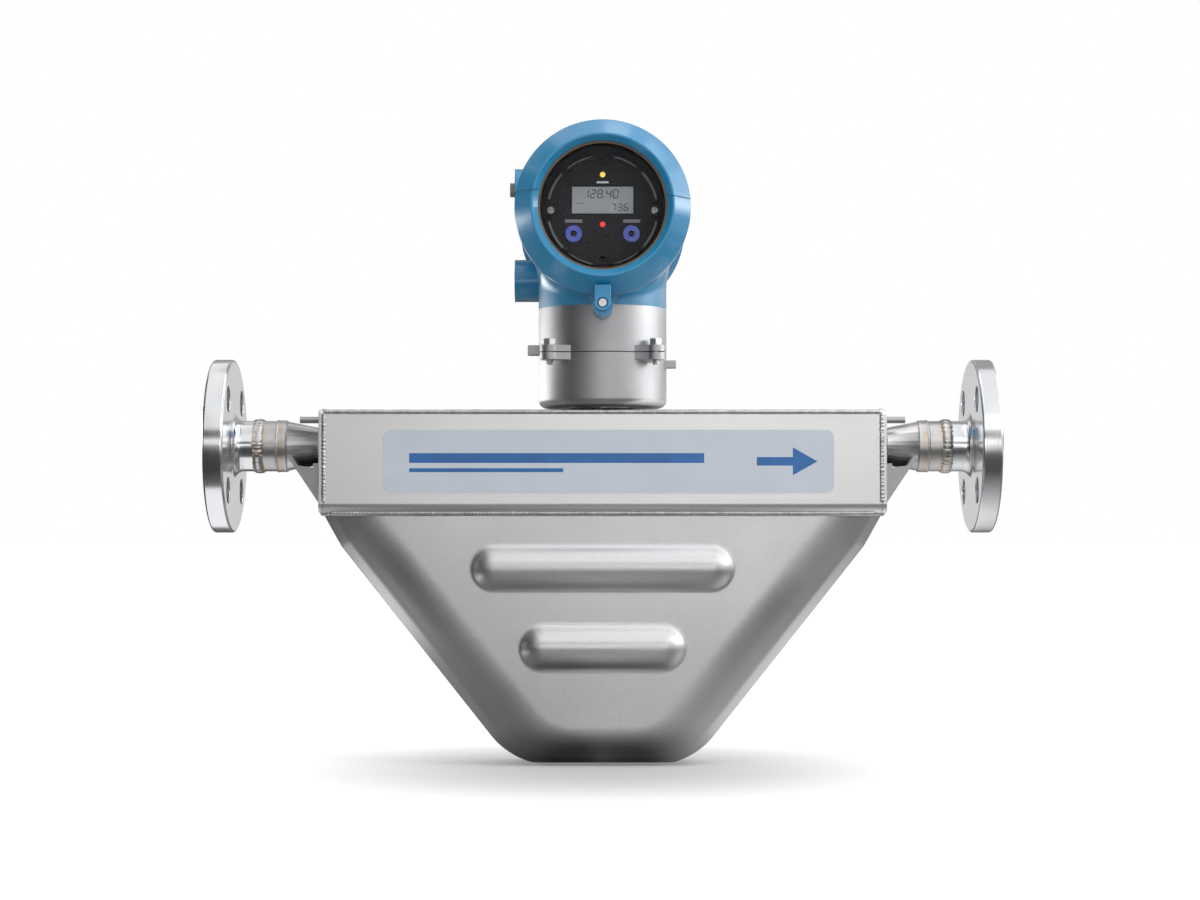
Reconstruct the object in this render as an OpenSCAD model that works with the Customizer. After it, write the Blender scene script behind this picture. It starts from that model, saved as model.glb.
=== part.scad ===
// Coriolis flow meter, flanged, with a field-mount transmitter on its neck.
// X runs along the pipe from inlet to outlet, -Y is the display side, Z is up.
// The origin is the middle of the flat underside of the lower case.
// Lengths are in millimetres.

/* [Pipe connections] */
// Distance between the two sealing faces
face_to_face = 488; // [478:1:510]
// Outside diameter of a flange
flange_d = 108; // [104:1:118]
// Thickness of the bolted disc, without its raised face
flange_t = 12.7; // [10:0.1:16]
// Diameter of the raised sealing face
raised_face_d = 50.8; // [46:0.1:58]
// Height of the raised sealing face
raised_face_t = 1.6; // [1:0.1:3]
// Diameter of the circle of bolt holes
bolt_circle_d = 79.4; // [76:0.1:84]
// Diameter of a bolt hole
bolt_hole_d = 15.9; // [12:0.1:18]
// Number of bolt holes in a flange
bolt_count = 4; // [4, 8]
// Inside diameter of the pipe
bore_d = 25.4; // [20:0.1:26]
// Outside diameter of the weld neck
neck_pipe_d = 31.5; // [30.5:0.1:34]
// Length of a flange with its neck
flange_l = 30; // [26:0.5:34]
// Plain pipe between the flange's weld and the collar
neck_run = 11.7; // [8:0.1:16]
// Radius of the fillet between neck and disc
hub_fillet = 5.5; // [2:0.1:8]

/* [Upper case] */
// Depth of the upper case, front to back
box_w = 76; // [72:1:84]
// Height of the upper case
box_h = 63; // [62:1:72]
// Height of the pipe's axis above the upper case's floor
axis_rise = 42; // [40:0.5:43]
// Thickness of the folded channel's sheet
channel_t = 2; // [1.5:0.1:3]
// Radius of the channel's folded lower edges
fold_r = 6; // [4:0.5:8]
// Thickness of the end plates
end_t = 3; // [2:0.1:4]
// Thickness of the top plate
lid_t = 2.5; // [2:0.1:4]
// Length of the label plate
label_l = 275; // [200:1:300]
// Height of the label plate
label_h = 38.6; // [20:0.1:44]
// Thickness of the label plate
label_t = 0.5; // [0.4:0.1:1]
// Corner radius of the label plate
label_r = 5; // [2:0.5:8]
// Sideways shift of the label plate
label_shift = 3.7; // [0:0.1:10]

/* [Lower case] */
// Height of the V-shaped lower case
case_h = 155; // [150:1:165]
// Step in from the upper case's end to the lower case's rim
case_inset = 1; // [0:0.5:5]
// Step in from the upper case's end to the shoulder, where the sloping edge steepens
shoulder_inset = 12.5; // [9:0.5:17]
// Distance of the shoulder below the upper case
shoulder_drop = 20.5; // [14:0.5:26]
// Half width to which the sloping edges would run at the bottom
case_corner_half = 54.2; // [50:0.5:60]
// Radius of the lower corners
case_corner_r = 50; // [40:1:56]
// Half width of the seam band, front to back
seam_half = 21; // [16:0.5:22]
// Distance of the pressed face's edge from the middle plane
edge_half = 27.5; // [26.5:0.1:29]
// Distance of the raised panel's surface from the middle plane
panel_half = 33.3; // [31:0.1:35]
// Width of the bevel between seam band and face
edge_inset = 6.5; // [4:0.5:9]
// Sheet thickness of the lower case
case_t = 1.5; // [1:0.1:2]
// Height above the ground of the raised panel's lower edge
panel_foot = 24.5; // [20:0.5:30]
// Half width to which the raised panel's sloping edges run at its lower edge
panel_corner_half = 31; // [26:0.5:36]
// Corner radius of the raised panel
panel_corner_r = 26; // [10:1:34]
// Length of the upper stiffening rib
upper_rib_l = 159; // [120:1:170]
// Height of the upper rib's middle line
upper_rib_z = 121.4; // [114:0.1:126]
// Length of the lower stiffening rib
lower_rib_l = 100; // [60:1:110]
// Height of the lower rib's middle line
lower_rib_z = 72.7; // [66:0.1:80]
// Width of a rib
rib_w = 26; // [20:0.5:30]
// Height of a rib above the raised panel
rib_h = 6.2; // [4:0.1:8]

/* [Manifolds and brackets] */
// Distance from the upper case to the collar
collar_gap = 23.1; // [20:0.1:26]
// Length of the collar
collar_l = 5.7; // [4:0.1:7]
// Outside diameter of the collar
collar_d = 32.3; // [31:0.1:36]
// Height of the manifold where it enters the upper case
manifold_h = 21; // [19:0.5:23]
// Length of the manifold inside the upper case
manifold_reach = 13.5; // [10:0.5:16]
// Half width of a bracket, front to back
bracket_half = 29; // [28.5:0.5:34]
// Sheet thickness of a bracket
bracket_t = 2.8; // [2:0.1:3.5]
// Height of a bracket's foot above the upper case's floor
bracket_foot = 5; // [4:0.5:8]
// Distance of a bracket's upper edge below the pipe's axis
bracket_drop = 7; // [5:0.5:10]
// Distance of a bracket's upper edge from the collar
bracket_tuck = 3; // [2:0.5:5]
// Size of the tabs on a bracket's cheeks
bracket_tab = 4.2; // [3:0.1:6]
// Outside diameter of a purge stub
stub_d = 4.1; // [3:0.1:5]
// Length of a purge stub
stub_l = 13; // [8:0.5:18]
// Height of the purge stubs above the pipe's axis
stub_rise = 15.4; // [14.5:0.1:16]
// Distance of the purge stubs in front of the middle plane
stub_y = 22; // [18:0.5:26]

/* [Flow tubes] */
// Outside diameter of a flow tube
tube_d = 15; // [13:0.1:15.6]
// Wall thickness of a flow tube
tube_wall = 1.2; // [0.8:0.1:2]
// Distance of each flow tube from the middle plane
tube_y = 15.5; // [14.8:0.1:15.8]
// Length of a flow tube's straight end beside the manifold
tube_straight = 13; // [12:0.5:20]
// Radius of a flow tube's upper bends
upper_bend_r = 32; // [28:1:38]
// Radius of a flow tube's bottom bend
lower_bend_r = 42; // [38:1:48]
// Height of a flow tube's lowest middle line
tube_foot = 20; // [18:0.5:26]
// Depth of a flow tube's seat in the manifold
socket_l = 18; // [14:0.5:19]
// Thickness of the tube braces
brace_t = 3; // [2:0.1:4]

/* [Neck] */
// Outside diameter of the neck
neck_d = 80; // [78:1:82]
// Wall thickness of the neck's parts
neck_wall = 3.5; // [3:0.1:4.5]
// Visible height of the stem below the cup
stem_h = 2.6; // [2:0.1:6]
// Diameter of the stem
stem_d = 44; // [36:1:50]
// Height of the lower cup
cup_h = 32.8; // [30:0.1:38]
// Thickness of the cup's floor
cup_floor = 4; // [3:0.1:5]
// Radius of the cup's lower edge
cup_fillet = 5; // [2:0.5:7]
// Thickness of the gasket between cup and ring
neck_gasket_t = 0.5; // [0.4:0.1:1.5]
// Height of the upper ring
ring_h = 28.6; // [26:0.1:34]
// Radius of the circle of neck bolts
lug_circle_r = 46; // [45:0.5:48]
// Thickness of a lug on the ring
ring_lug_t = 4; // [3:0.1:6]
// Thickness of a lug on the cup
cup_lug_t = 4.5; // [3:0.1:6]
// Diameter of a neck bolt
neck_bolt_d = 4; // [3:0.1:5]

/* [Transmitter] */
// Height of the covers' lower edge above the neck
cover_rise = 3.3; // [2:0.1:9]
// Wall thickness of the barrel at the cover threads
barrel_wall = 4; // [3:0.5:5]
// Half length of the barrel
barrel_half = 52; // [50:0.5:56]
// Step from the cover threads in to the chambers
thread_step = 2; // [1.5:0.1:3]
// Length of the cover threads
thread_l = 10; // [8:0.5:12]
// Thickness of the wall between the chambers
partition_t = 4; // [3:0.1:6]
// Diameter of the conduit bosses
conduit_boss_d = 26.8; // [24:0.1:28]
// Diameter of the conduit entries
conduit_d = 18.5; // [16:0.1:20]
// Length by which the conduit bosses pass the barrel's side
conduit_boss_l = 5.6; // [3:0.1:10]
// Distance of the conduit bosses behind the middle
conduit_y = 24; // [23.5:0.5:28]
// Distance of the upper conduit above the barrel's axis
upper_conduit_rise = 22; // [18:0.5:26]
// Distance of the lower conduit below the barrel's axis
lower_conduit_drop = 36; // [34:0.5:37]

/* [Covers] */
// Diameter of the window opening
window_d = 77.6; // [70:0.1:84]
// Width by which the glass lies behind the window's rim
glass_lap = 2.5; // [2:0.1:4]
// Width of a cover's spigot beside the glass
spigot_wall = 4.5; // [4:0.1:6]
// Height of a cover's rim above the barrel
rim_proud = 3.2; // [2:0.1:5]
// Distance from the window opening to the ridge
ridge_gap = 3.7; // [3:0.1:5]
// Length of a cover's plain rim
rim_l = 10; // [8:0.5:12]
// Length of a cover's sloping flank
flank_l = 13; // [10:0.5:15]
// Thickness of the window glass
glass_t = 6; // [4:0.1:8]
// Width of the wrench notches in a cover
notch_w = 11; // [6:0.5:16]
// Depth of the wrench notches
notch_depth = 1.4; // [0.5:0.1:2]
// Angle by which the display cover's notches are turned
notch_turn = 2.6; // [0:0.1:10]

/* [Display] */
// Distance of the display panel's face inside the barrel's end
panel_inset = 7; // [4:0.1:8]
// Gap between the display panel's edge and the chamber
panel_gap = 4; // [3:0.5:6]
// Thickness of the display panel
panel_t = 7; // [5:0.1:8]
// Width of the screen
lcd_w = 37.4; // [30:0.1:40]
// Height of the screen
lcd_h = 16.6; // [12:0.1:18]
// Height of the screen's middle above the panel's middle
lcd_rise = 6.5; // [5:0.1:8]
// Diameter of a switch window
switch_d = 10.1; // [8:0.1:11]
// Distance of the switch windows from the panel's middle line
switch_x = 17.6; // [14:0.1:20]
// Distance of the switch windows below the panel's middle
switch_drop = 14.1; // [12.5:0.1:16]
// Diameter of the lamps
lamp_d = 3.3; // [2:0.1:4]
// Distance of the panel's raised ring from its edge
guard_inset = 7.6; // [6:0.1:9]

/* [Cover lock] */
// Width of the clamp
clamp_w = 9.8; // [8:0.1:12]
// Thickness of the clamp
clamp_t = 2.8; // [2:0.1:4]
// Height of the clamp's tip above its screw
clamp_tip = 10.8; // [8:0.1:12]
// Diameter of the boss that carries the clamp
lock_boss_d = 12.2; // [10:0.1:12.6]
// Diameter of the clamp screw
lock_screw_d = 3; // [2:0.1:3.5]

/* [Clearances] */
// Radial clearance of running and plug-in fits
fit = 0.05; // [0.02:0.01:0.1]
// Gap left beside parts that stay apart
gap = 0.4; // [0.3:0.1:0.6]

/* [Hidden] */
$fn = 72;

INLET = -1;
OUTLET = 1;
FRONT = -1;
REAR = 1;

steel = [0.78, 0.79, 0.80];
bright_steel = [0.86, 0.87, 0.88];
dark_steel = [0.45, 0.45, 0.47];
satin_steel = [0.72, 0.72, 0.71];
alloy = [0.70, 0.71, 0.73];
paint_blue = [0.22, 0.52, 0.70];
label_grey = [0.66, 0.71, 0.76];
board_green = [0.15, 0.42, 0.25];
copper = [0.72, 0.42, 0.22];
magnet_grey = [0.30, 0.30, 0.33];
black = [0.06, 0.06, 0.07];
resin = [0.18, 0.18, 0.20];
lcd_grey = [0.62, 0.65, 0.64];
window_blue = [0.20, 0.28, 0.65];
rubber_brown = [0.42, 0.30, 0.20];

// Diameters of the covers and the barrel, from the window outwards
glass_play = 0.2;
glass_d = window_d + 2 * glass_lap;
pocket_d = glass_d + 2 * glass_play;
thread_d = pocket_d + 2 * spigot_wall;
chamber_d = thread_d - 2 * thread_step;
barrel_d = thread_d + 2 * barrel_wall;
cover_d = barrel_d + 2 * rim_proud;
ridge_d = window_d + 2 * ridge_gap;
panel_d = chamber_d - 2 * panel_gap;
guard_r = panel_d / 2 - guard_inset;
conduit_reach = barrel_d / 2 + conduit_boss_l;

// Heights
pipe_z = case_h + axis_rise;
box_top = case_h + box_h;
cup_z = box_top + stem_h;
cup_top = cup_z + cup_h;
ring_z = cup_top + neck_gasket_t;
neck_top = ring_z + ring_h;
barrel_z = neck_top + cover_rise + cover_d / 2;

// Places along the pipe
face_x = face_to_face / 2;
disc_x = face_x - raised_face_t - flange_t;
weld_x = face_x - flange_l;
collar_x = weld_x - neck_run - collar_l;
box_x = collar_x - collar_gap;
box_l = 2 * box_x;
case_top_half = box_x - case_inset;
shoulder_half = box_x - shoulder_inset;
manifold_x = box_x - manifold_reach;
socket_x = manifold_x + socket_l;
brace_x = manifold_x - tube_straight / 2 - brace_t / 2;

// Points on a circle's arc
function arc(cx, cy, r, a0, a1, steps = 8) =
    [for (i = [0:steps]) let (a = a0 + (a1 - a0) * i / steps) [cx + r * cos(a), cy + r * sin(a)]];

module rod_x(d, x0, x1, y = 0, z = 0) {
    translate([x0, y, z]) rotate([0, 90, 0]) cylinder(d = d, h = x1 - x0);
}
module rod_y(d, y0, y1, x = 0, z = 0) {
    translate([x, y1, z]) rotate([90, 0, 0]) cylinder(d = d, h = y1 - y0);
}
module rod_z(d, z0, z1, x = 0, y = 0) {
    translate([x, y, z0]) cylinder(d = d, h = z1 - z0);
}
// A block between two corners
module block(low, high) {
    translate(low) cube(high - low);
}
// What is drawn for the outlet end, mirrored for the inlet end
module at_end(side) {
    mirror([side == INLET ? 1 : 0, 0, 0]) children();
}
// What is drawn for the front, mirrored for the rear
module at_face(side) {
    mirror([0, side == REAR ? 1 : 0, 0]) children();
}
// A profile of radius and distance, revolved about the pipe's axis
module turned_x() {
    translate([0, 0, pipe_z]) rotate([0, 90, 0]) rotate_extrude() children();
}
// A profile of radius and distance to the front, revolved about the barrel's axis
module turned_y() {
    translate([0, 0, barrel_z]) rotate([90, 0, 0]) rotate_extrude() children();
}
// A profile in Y and Z, carried along X
module along_x(x0, x1) {
    translate([x0, 0, 0]) rotate([90, 0, 90]) linear_extrude(x1 - x0) children();
}
// A profile in X and Z, carried to the front between two distances
module along_front(f0, f1) {
    translate([0, -f0, 0]) rotate([90, 0, 0]) linear_extrude(f1 - f0) children();
}

// ---- Pipe connections ----

module flange(side) {
    bevel = 1;
    neck_r = neck_pipe_d / 2;
    color(bright_steel) at_end(side) difference() {
        turned_x() polygon(concat(
            [[bore_d / 2, weld_x], [neck_r, weld_x]],
            arc(neck_r + hub_fillet, disc_x - hub_fillet, hub_fillet, 180, 90),
            [[flange_d / 2 - bevel, disc_x], [flange_d / 2, disc_x + bevel],
             [flange_d / 2, disc_x + flange_t - bevel], [flange_d / 2 - bevel, disc_x + flange_t],
             [raised_face_d / 2, disc_x + flange_t], [raised_face_d / 2, face_x],
             [bore_d / 2, face_x]]));
        for (i = [0:bolt_count - 1]) translate([0, 0, pipe_z])
            rotate([(i + 0.5) * 360 / bolt_count, 0, 0])
                rod_x(bolt_hole_d, disc_x - 1, face_x + 1, z = bolt_circle_d / 2);
    }
}

// The flattened section in which both tube seats lie side by side
module twin_section(h, x0, x1) {
    for (y = [-tube_y, tube_y]) rod_x(h, x0, x1, y, pipe_z);
    block([x0, -tube_y, pipe_z - h / 2], [x1, tube_y, pipe_z + h / 2]);
}

module manifold(side) {
    sliver = 0.5;
    passage_d = tube_d - 2 * tube_wall;
    color(bright_steel) at_end(side) difference() {
        union() {
            rod_x(neck_pipe_d, collar_x, weld_x, z = pipe_z);
            rod_x(collar_d, collar_x, collar_x + collar_l, z = pipe_z);
            hull() {
                rod_x(neck_pipe_d - 1, collar_x - sliver, collar_x, z = pipe_z, $fn = 32);
                for (y = [-tube_y, tube_y])
                    rod_x(manifold_h, box_x, box_x + sliver, y, pipe_z, $fn = 32);
            }
            twin_section(manifold_h, manifold_x, box_x);
        }
        rod_x(bore_d, collar_x - sliver, weld_x + 1, z = pipe_z);
        for (y = [-tube_y, tube_y]) {
            hull() {
                rod_x(bore_d, collar_x - sliver, collar_x, z = pipe_z, $fn = 32);
                rod_x(passage_d, socket_x - 1, socket_x, y, pipe_z, $fn = 32);
            }
            rod_x(tube_d + 2 * fit, manifold_x - 1, socket_x, y, pipe_z);
        }
    }
}

// A folded sheet: a sloping plate from the case's end up to the manifold, with
// two upright cheeks and a small tab at each cheek's inner corner
module bracket(side) {
    foot_z = case_h + bracket_foot;
    top_z = pipe_z - bracket_drop;
    top_x = collar_x - bracket_tuck;
    cheek_z = pipe_z - manifold_h / 2 - 1;
    slope = (top_x - box_x) / (top_z - foot_z);
    cheek_x = box_x + slope * (cheek_z - foot_z);
    color(steel) at_end(side) {
        difference() {
            rotate([90, 0, 0]) linear_extrude(2 * bracket_half, center = true) polygon([
                [box_x, foot_z], [top_x, top_z], [top_x - bracket_t, top_z],
                [box_x, foot_z + bracket_t / slope]]);
            hull() {
                rod_x(neck_pipe_d - 1 + 2 * fit, collar_x - 0.5, collar_x, z = pipe_z, $fn = 32);
                for (y = [-tube_y, tube_y])
                    rod_x(manifold_h + 2 * fit, box_x, box_x + 0.5, y, pipe_z, $fn = 32);
            }
        }
        for (y = [-bracket_half, bracket_half - bracket_t]) {
            translate([0, y + bracket_t, 0]) rotate([90, 0, 0]) linear_extrude(bracket_t) polygon([
                [box_x, foot_z + 1], [cheek_x - 0.6, cheek_z - 1], [box_x, cheek_z - 3]]);
            block([box_x, y, cheek_z - bracket_tab],
                [box_x + bracket_tab, y + bracket_t, cheek_z]);
        }
    }
}

module purge_stub(side) {
    color(steel) at_end(side) difference() {
        rod_x(stub_d, box_x, box_x + stub_l, -stub_y, pipe_z + stub_rise);
        rod_x(stub_d / 2, box_x + 2, box_x + stub_l + 1, -stub_y, pipe_z + stub_rise);
    }
}

// ---- Upper case ----

// The channel's trough, in Y and Z, up to a given top; inset moves its sides and floor inwards
module trough(inset, top) {
    r = fold_r - inset;
    half = box_w / 2 - inset;
    low = case_h + inset;
    polygon(concat(arc(half - r, low + r, r, -90, 0), [[half, top], [-half, top]],
        arc(-half + r, low + r, r, 180, 270)));
}

module case_channel() {
    half = box_x - end_t;
    end_rim = 4;
    color(satin_steel) difference() {
        along_x(-half, half) difference() {
            trough(0, box_top - lid_t);
            trough(channel_t, box_top);
        }
        block([-half + end_rim, -edge_half + case_t, case_h - 1],
            [half - end_rim, edge_half - case_t, case_h + channel_t + 1]);
    }
}

module case_top_plate() {
    half = box_x - end_t;
    color(satin_steel) difference() {
        block([-half, -box_w / 2, box_top - lid_t], [half, box_w / 2, box_top]);
        rod_z(stem_d / 2, box_top - lid_t - 1, box_top + 1);
    }
}

module end_plate(side) {
    top_r = 3;
    half = box_w / 2;
    color(satin_steel) at_end(side) difference() {
        along_x(box_x - end_t, box_x) polygon(concat(
            arc(half - fold_r, case_h + fold_r, fold_r, -90, 0),
            arc(half - top_r, box_top - top_r, top_r, 0, 90),
            arc(-half + top_r, box_top - top_r, top_r, 90, 180),
            arc(-half + fold_r, case_h + fold_r, fold_r, 180, 270)));
        twin_section(manifold_h + 2 * fit, box_x - end_t - 1, box_x + 1);
    }
}

module front_label_plate() {
    label_z = case_h + box_h / 2;
    w = label_l / 2 - label_r;
    h = label_h / 2 - label_r;
    color(label_grey) translate([label_shift, 0, label_z]) along_front(box_w / 2, box_w / 2 + label_t)
        polygon(concat(arc(w, h, label_r, 0, 90), arc(-w, h, label_r, 90, 180),
            arc(-w, -h, label_r, 180, 270), arc(w, -h, label_r, 270, 360)));
}

// ---- Lower case ----

// One rounded lower corner of a V outline, on the +X side
function v_corner(half, foot, r, angle) =
    arc(half - r * tan(angle / 2), foot + r, r, -90, angle - 90, 10);
function flip_x(points) = [for (i = [len(points) - 1:-1:0]) [-points[i][0], points[i][1]]];

// Angle of the sloping edges above the ground
v_angle = atan2(case_h - shoulder_drop, shoulder_half - case_corner_half);

module case_outline() {
    overrun = 40;
    right = concat(v_corner(case_corner_half, 0, case_corner_r, v_angle),
        [[shoulder_half, case_h - shoulder_drop], [case_top_half, case_h],
         [case_top_half, case_h + overrun]]);
    polygon(concat(right, flip_x(right)));
}

module panel_outline() {
    overrun = 40;
    top = case_h + overrun;
    run = (top - panel_foot) / tan(v_angle);
    right = concat(v_corner(panel_corner_half, panel_foot, panel_corner_r, v_angle),
        [[panel_corner_half + run, top]]);
    polygon(concat(right, flip_x(right)));
}

// The pressed form: seam band, bevel, and the face that rises to the raised panel;
// skin moves all of it inwards by a sheet thickness
module pressed_form(skin) {
    sliver = 0.01;
    hull() {
        along_front(-sliver, seam_half - skin / 2) offset(delta = -skin) case_outline();
        along_front(edge_half - skin - sliver, edge_half - skin)
            offset(delta = -edge_inset - skin / 2) case_outline();
    }
    hull() {
        along_front(edge_half - skin - sliver, edge_half - skin)
            offset(delta = -edge_inset - skin / 2) case_outline();
        along_front(panel_half - skin - sliver, panel_half - skin)
            intersection() {
                panel_outline();
                offset(delta = -edge_inset - skin) case_outline();
            }
    }
}

// A rib: a round bar with ball ends, sunk so that only a crown shows
module rib(l, z, skin) {
    half = rib_w / 2;
    r = (half * half + rib_h * rib_h) / (2 * rib_h);
    y = -(panel_half + rib_h - r);
    reach = l / 2 - half;
    rod_x(2 * (r - skin), -reach, reach, y, z);
    for (x = [-reach, reach]) translate([x, y, z]) sphere(r = r - skin);
}

module case_shell(side) {
    color(satin_steel) at_face(side) difference() {
        union() {
            pressed_form(0);
            intersection() {
                union() {
                    rib(upper_rib_l, upper_rib_z, 0);
                    rib(lower_rib_l, lower_rib_z, 0);
                }
                block([-box_l, -box_w, 0], [box_l, -edge_half, case_h]);
            }
        }
        pressed_form(case_t);
        intersection() {
            union() {
                rib(upper_rib_l, upper_rib_z, case_t);
                rib(lower_rib_l, lower_rib_z, case_t);
            }
            block([-box_l, -box_w, 0], [box_l, -edge_half + 2 * case_t, case_h]);
        }
        block([-box_l, -box_w, case_h], [box_l, box_w, case_h + box_h]);
        block([-box_l, 0, -1], [box_l, box_w, case_h + 1]);
    }
}

// ---- Flow tubes and what they carry ----

bend_x = manifold_x - tube_straight;
run_z = pipe_z - upper_bend_r - tube_foot - lower_bend_r;
centre_gap = sqrt(bend_x * bend_x + run_z * run_z);
bends_r = upper_bend_r + lower_bend_r;
// Angle of the tube's legs below the horizontal
leg_angle = atan2(run_z, bend_x) + asin(bends_r / centre_gap);
leg_l = sqrt(centre_gap * centre_gap - bends_r * bends_r);
leg_x = bend_x - upper_bend_r * sin(leg_angle);
leg_z = pipe_z - upper_bend_r + upper_bend_r * cos(leg_angle);

module tube_section(d) {
    difference() {
        circle(d = d);
        circle(d = d - 2 * tube_wall);
    }
}

module tube_bend(x, z, r, a0, a1) {
    translate([x, 0, z]) rotate([90, 0, 0]) rotate([0, 0, a0])
        rotate_extrude(angle = a1 - a0) translate([r, 0]) children();
}

// The frame of the outlet leg: its middle line becomes +X, a share of the way down
module on_leg(side, share) {
    at_end(side) translate([leg_x - leg_l * share * cos(leg_angle), 0,
        leg_z - leg_l * share * sin(leg_angle)]) rotate([0, -leg_angle, 0]) children();
}

// A straight length of tube along the local Z axis
module tube_length(d, inner_d, z0, z1) {
    translate([0, 0, z0]) linear_extrude(z1 - z0) difference() {
        circle(d = d);
        circle(d = inner_d);
    }
}

// The legs stop just short of the bends, and a weld sleeve bridges each joint
module flow_tube(side) {
    end_gap = 0.3;
    root_gap = 0.2;
    sleeve_half = 1;
    inner_d = tube_d - 2 * tube_wall;
    color(bright_steel) translate([0, side * tube_y, 0]) {
        for (s = [INLET, OUTLET]) at_end(s) {
            translate([0, 0, pipe_z]) rotate([90, 0, 90])
                tube_length(tube_d, inner_d, bend_x, socket_x - end_gap);
            tube_bend(bend_x, pipe_z - upper_bend_r, upper_bend_r, 90, 90 + leg_angle)
                tube_section(tube_d);
            translate([leg_x, 0, leg_z]) rotate([0, -90 - leg_angle, 0]) {
                tube_length(tube_d, inner_d, root_gap, leg_l - root_gap);
                for (z = [0, leg_l])
                    tube_length(tube_d + 0.6, tube_d - tube_wall, z - sleeve_half, z + sleeve_half);
            }
        }
        tube_bend(0, tube_foot + lower_bend_r, lower_bend_r, 270 - leg_angle, 270 + leg_angle)
            tube_section(tube_d);
    }
}

module tube_brace(side) {
    brace_h = tube_d + 6;
    color(steel) at_end(side) difference() {
        twin_section(brace_h, brace_x, brace_x + brace_t);
        for (y = [-tube_y, tube_y])
            rod_x(tube_d + 2 * fit, brace_x - 1, brace_x + brace_t + 1, y, pipe_z);
    }
}

coil_d = 13;
coil_bore_d = 9;
coil_y = 1.4;
magnet_d = 7;
magnet_tip = 3.5;
keeper_y = 2.2;
saddle_l = 12;
saddle_h = 9;
saddle_y = tube_y - tube_d / 2 - 1;

// A coil on a saddle; the tube that the saddle grips is cut away by the caller
module coil_body() {
    difference() {
        union() {
            rod_y(coil_d, -saddle_y, -coil_y);
            block([-saddle_l / 2, -tube_y + 4, -saddle_h / 2], [saddle_l / 2, -saddle_y + 0.5, saddle_h / 2]);
        }
        rod_y(coil_bore_d, -saddle_y + 0.5, 0);
    }
}
module magnet_body() {
    rod_y(magnet_d, -magnet_tip, keeper_y);
    rod_y(coil_d - 1, keeper_y, saddle_y);
    block([-saddle_l / 2, saddle_y - 0.5, -saddle_h / 2], [saddle_l / 2, tube_y - 4, saddle_h / 2]);
}

// Half the angle over which the bottom seats follow the bend
seat_sweep = 40;

module straight_seat(side) {
    rod_x(tube_d + 2 * fit, -saddle_l, saddle_l, side * tube_y);
}
module bottom_seat(side) {
    translate([0, side * tube_y, 0])
        tube_bend(0, lower_bend_r, lower_bend_r, 270 - seat_sweep, 270 + seat_sweep)
            circle(d = tube_d + 2 * fit);
}

module drive_coil() {
    color(copper) translate([0, 0, tube_foot]) difference() {
        coil_body();
        bottom_seat(FRONT);
    }
}
module drive_magnet() {
    color(magnet_grey) translate([0, 0, tube_foot]) difference() {
        magnet_body();
        bottom_seat(REAR);
    }
}

pickoff_share = 0.45;
module pickoff_coil(side) {
    color(copper) on_leg(side, pickoff_share) difference() {
        coil_body();
        straight_seat(FRONT);
    }
}
module pickoff_magnet(side) {
    color(magnet_grey) on_leg(side, pickoff_share) difference() {
        magnet_body();
        straight_seat(REAR);
    }
}

// A small sensor clipped to the front tube's inlet leg
module tube_temperature_sensor() {
    color(black) on_leg(INLET, 0.08) difference() {
        block([-6, -tube_y - tube_d / 2 - 3, -3.5], [6, -tube_y - tube_d / 2 + 1.5, 3.5]);
        straight_seat(FRONT);
    }
}

board_drop = 8.5;
board_t = 1.6;
board_l = stem_d;
board_w = stem_d + 6;
post_d = 5;
board_z = box_top - lid_t - board_drop;

// A terminal board that hangs from the top plate on four posts
module lead_board() {
    color(board_green) {
        block([-board_l / 2, -board_w / 2, board_z], [board_l / 2, board_w / 2, board_z + board_t]);
        for (x = [-1, 1], y = [-1, 1])
            rod_z(post_d, board_z + board_t / 2, box_top - lid_t,
                x * (board_l / 2 - post_d), y * (board_w / 2 - post_d));
    }
}

module sensor_leads() {
    lead_d = 1.6;
    pitch = 3.6;
    color(copper) for (i = [-1:1], j = [-1:1])
        rod_z(lead_d, board_z + board_t, cup_z + cup_floor, i * pitch, j * pitch, $fn = 24);
}

// ---- Neck ----

spigot_step = 4.5;
spigot_d = stem_d - 2 * spigot_step;
lug_tip_r = 6;
lug_flare = 12;
tab_half = 6;

module neck_stem() {
    color(steel) difference() {
        union() {
            rod_z(stem_d, box_top, cup_z);
            rod_z(spigot_d, cup_z - 0.5, cup_z + cup_floor);
        }
        rod_z(stem_d / 2, box_top - 1, cup_z + cup_floor + 1);
    }
}

// Plan of one lug that flares into the neck's wall
module lug_plan() {
    root = neck_d / 2 - neck_wall + 0.5;
    waist = (lug_flare + lug_tip_r) / 2;
    difference() {
        union() {
            translate([lug_circle_r, 0]) circle(r = lug_tip_r);
            polygon([[root, -lug_flare], [neck_d / 2 + 1, -waist], [lug_circle_r, -lug_tip_r],
                [lug_circle_r, lug_tip_r], [neck_d / 2 + 1, waist], [root, lug_flare]]);
        }
        translate([lug_circle_r, 0]) circle(d = neck_bolt_d + 2 * fit);
        circle(d = neck_d - 2 * neck_wall);
    }
}
module lugs(z0, z1) {
    translate([0, 0, z0]) linear_extrude(z1 - z0)
        for (a = [45:90:315]) rotate(a) lug_plan();
}
// A plain tab beside the lugs, on one side only
module side_tab(side, reach, z0, z1) {
    at_end(side) intersection() {
        block([neck_d / 2 - neck_wall / 2, -tab_half, z0], [reach, tab_half, z1]);
        rod_z(2 * reach, z0, z1);
    }
}

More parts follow.
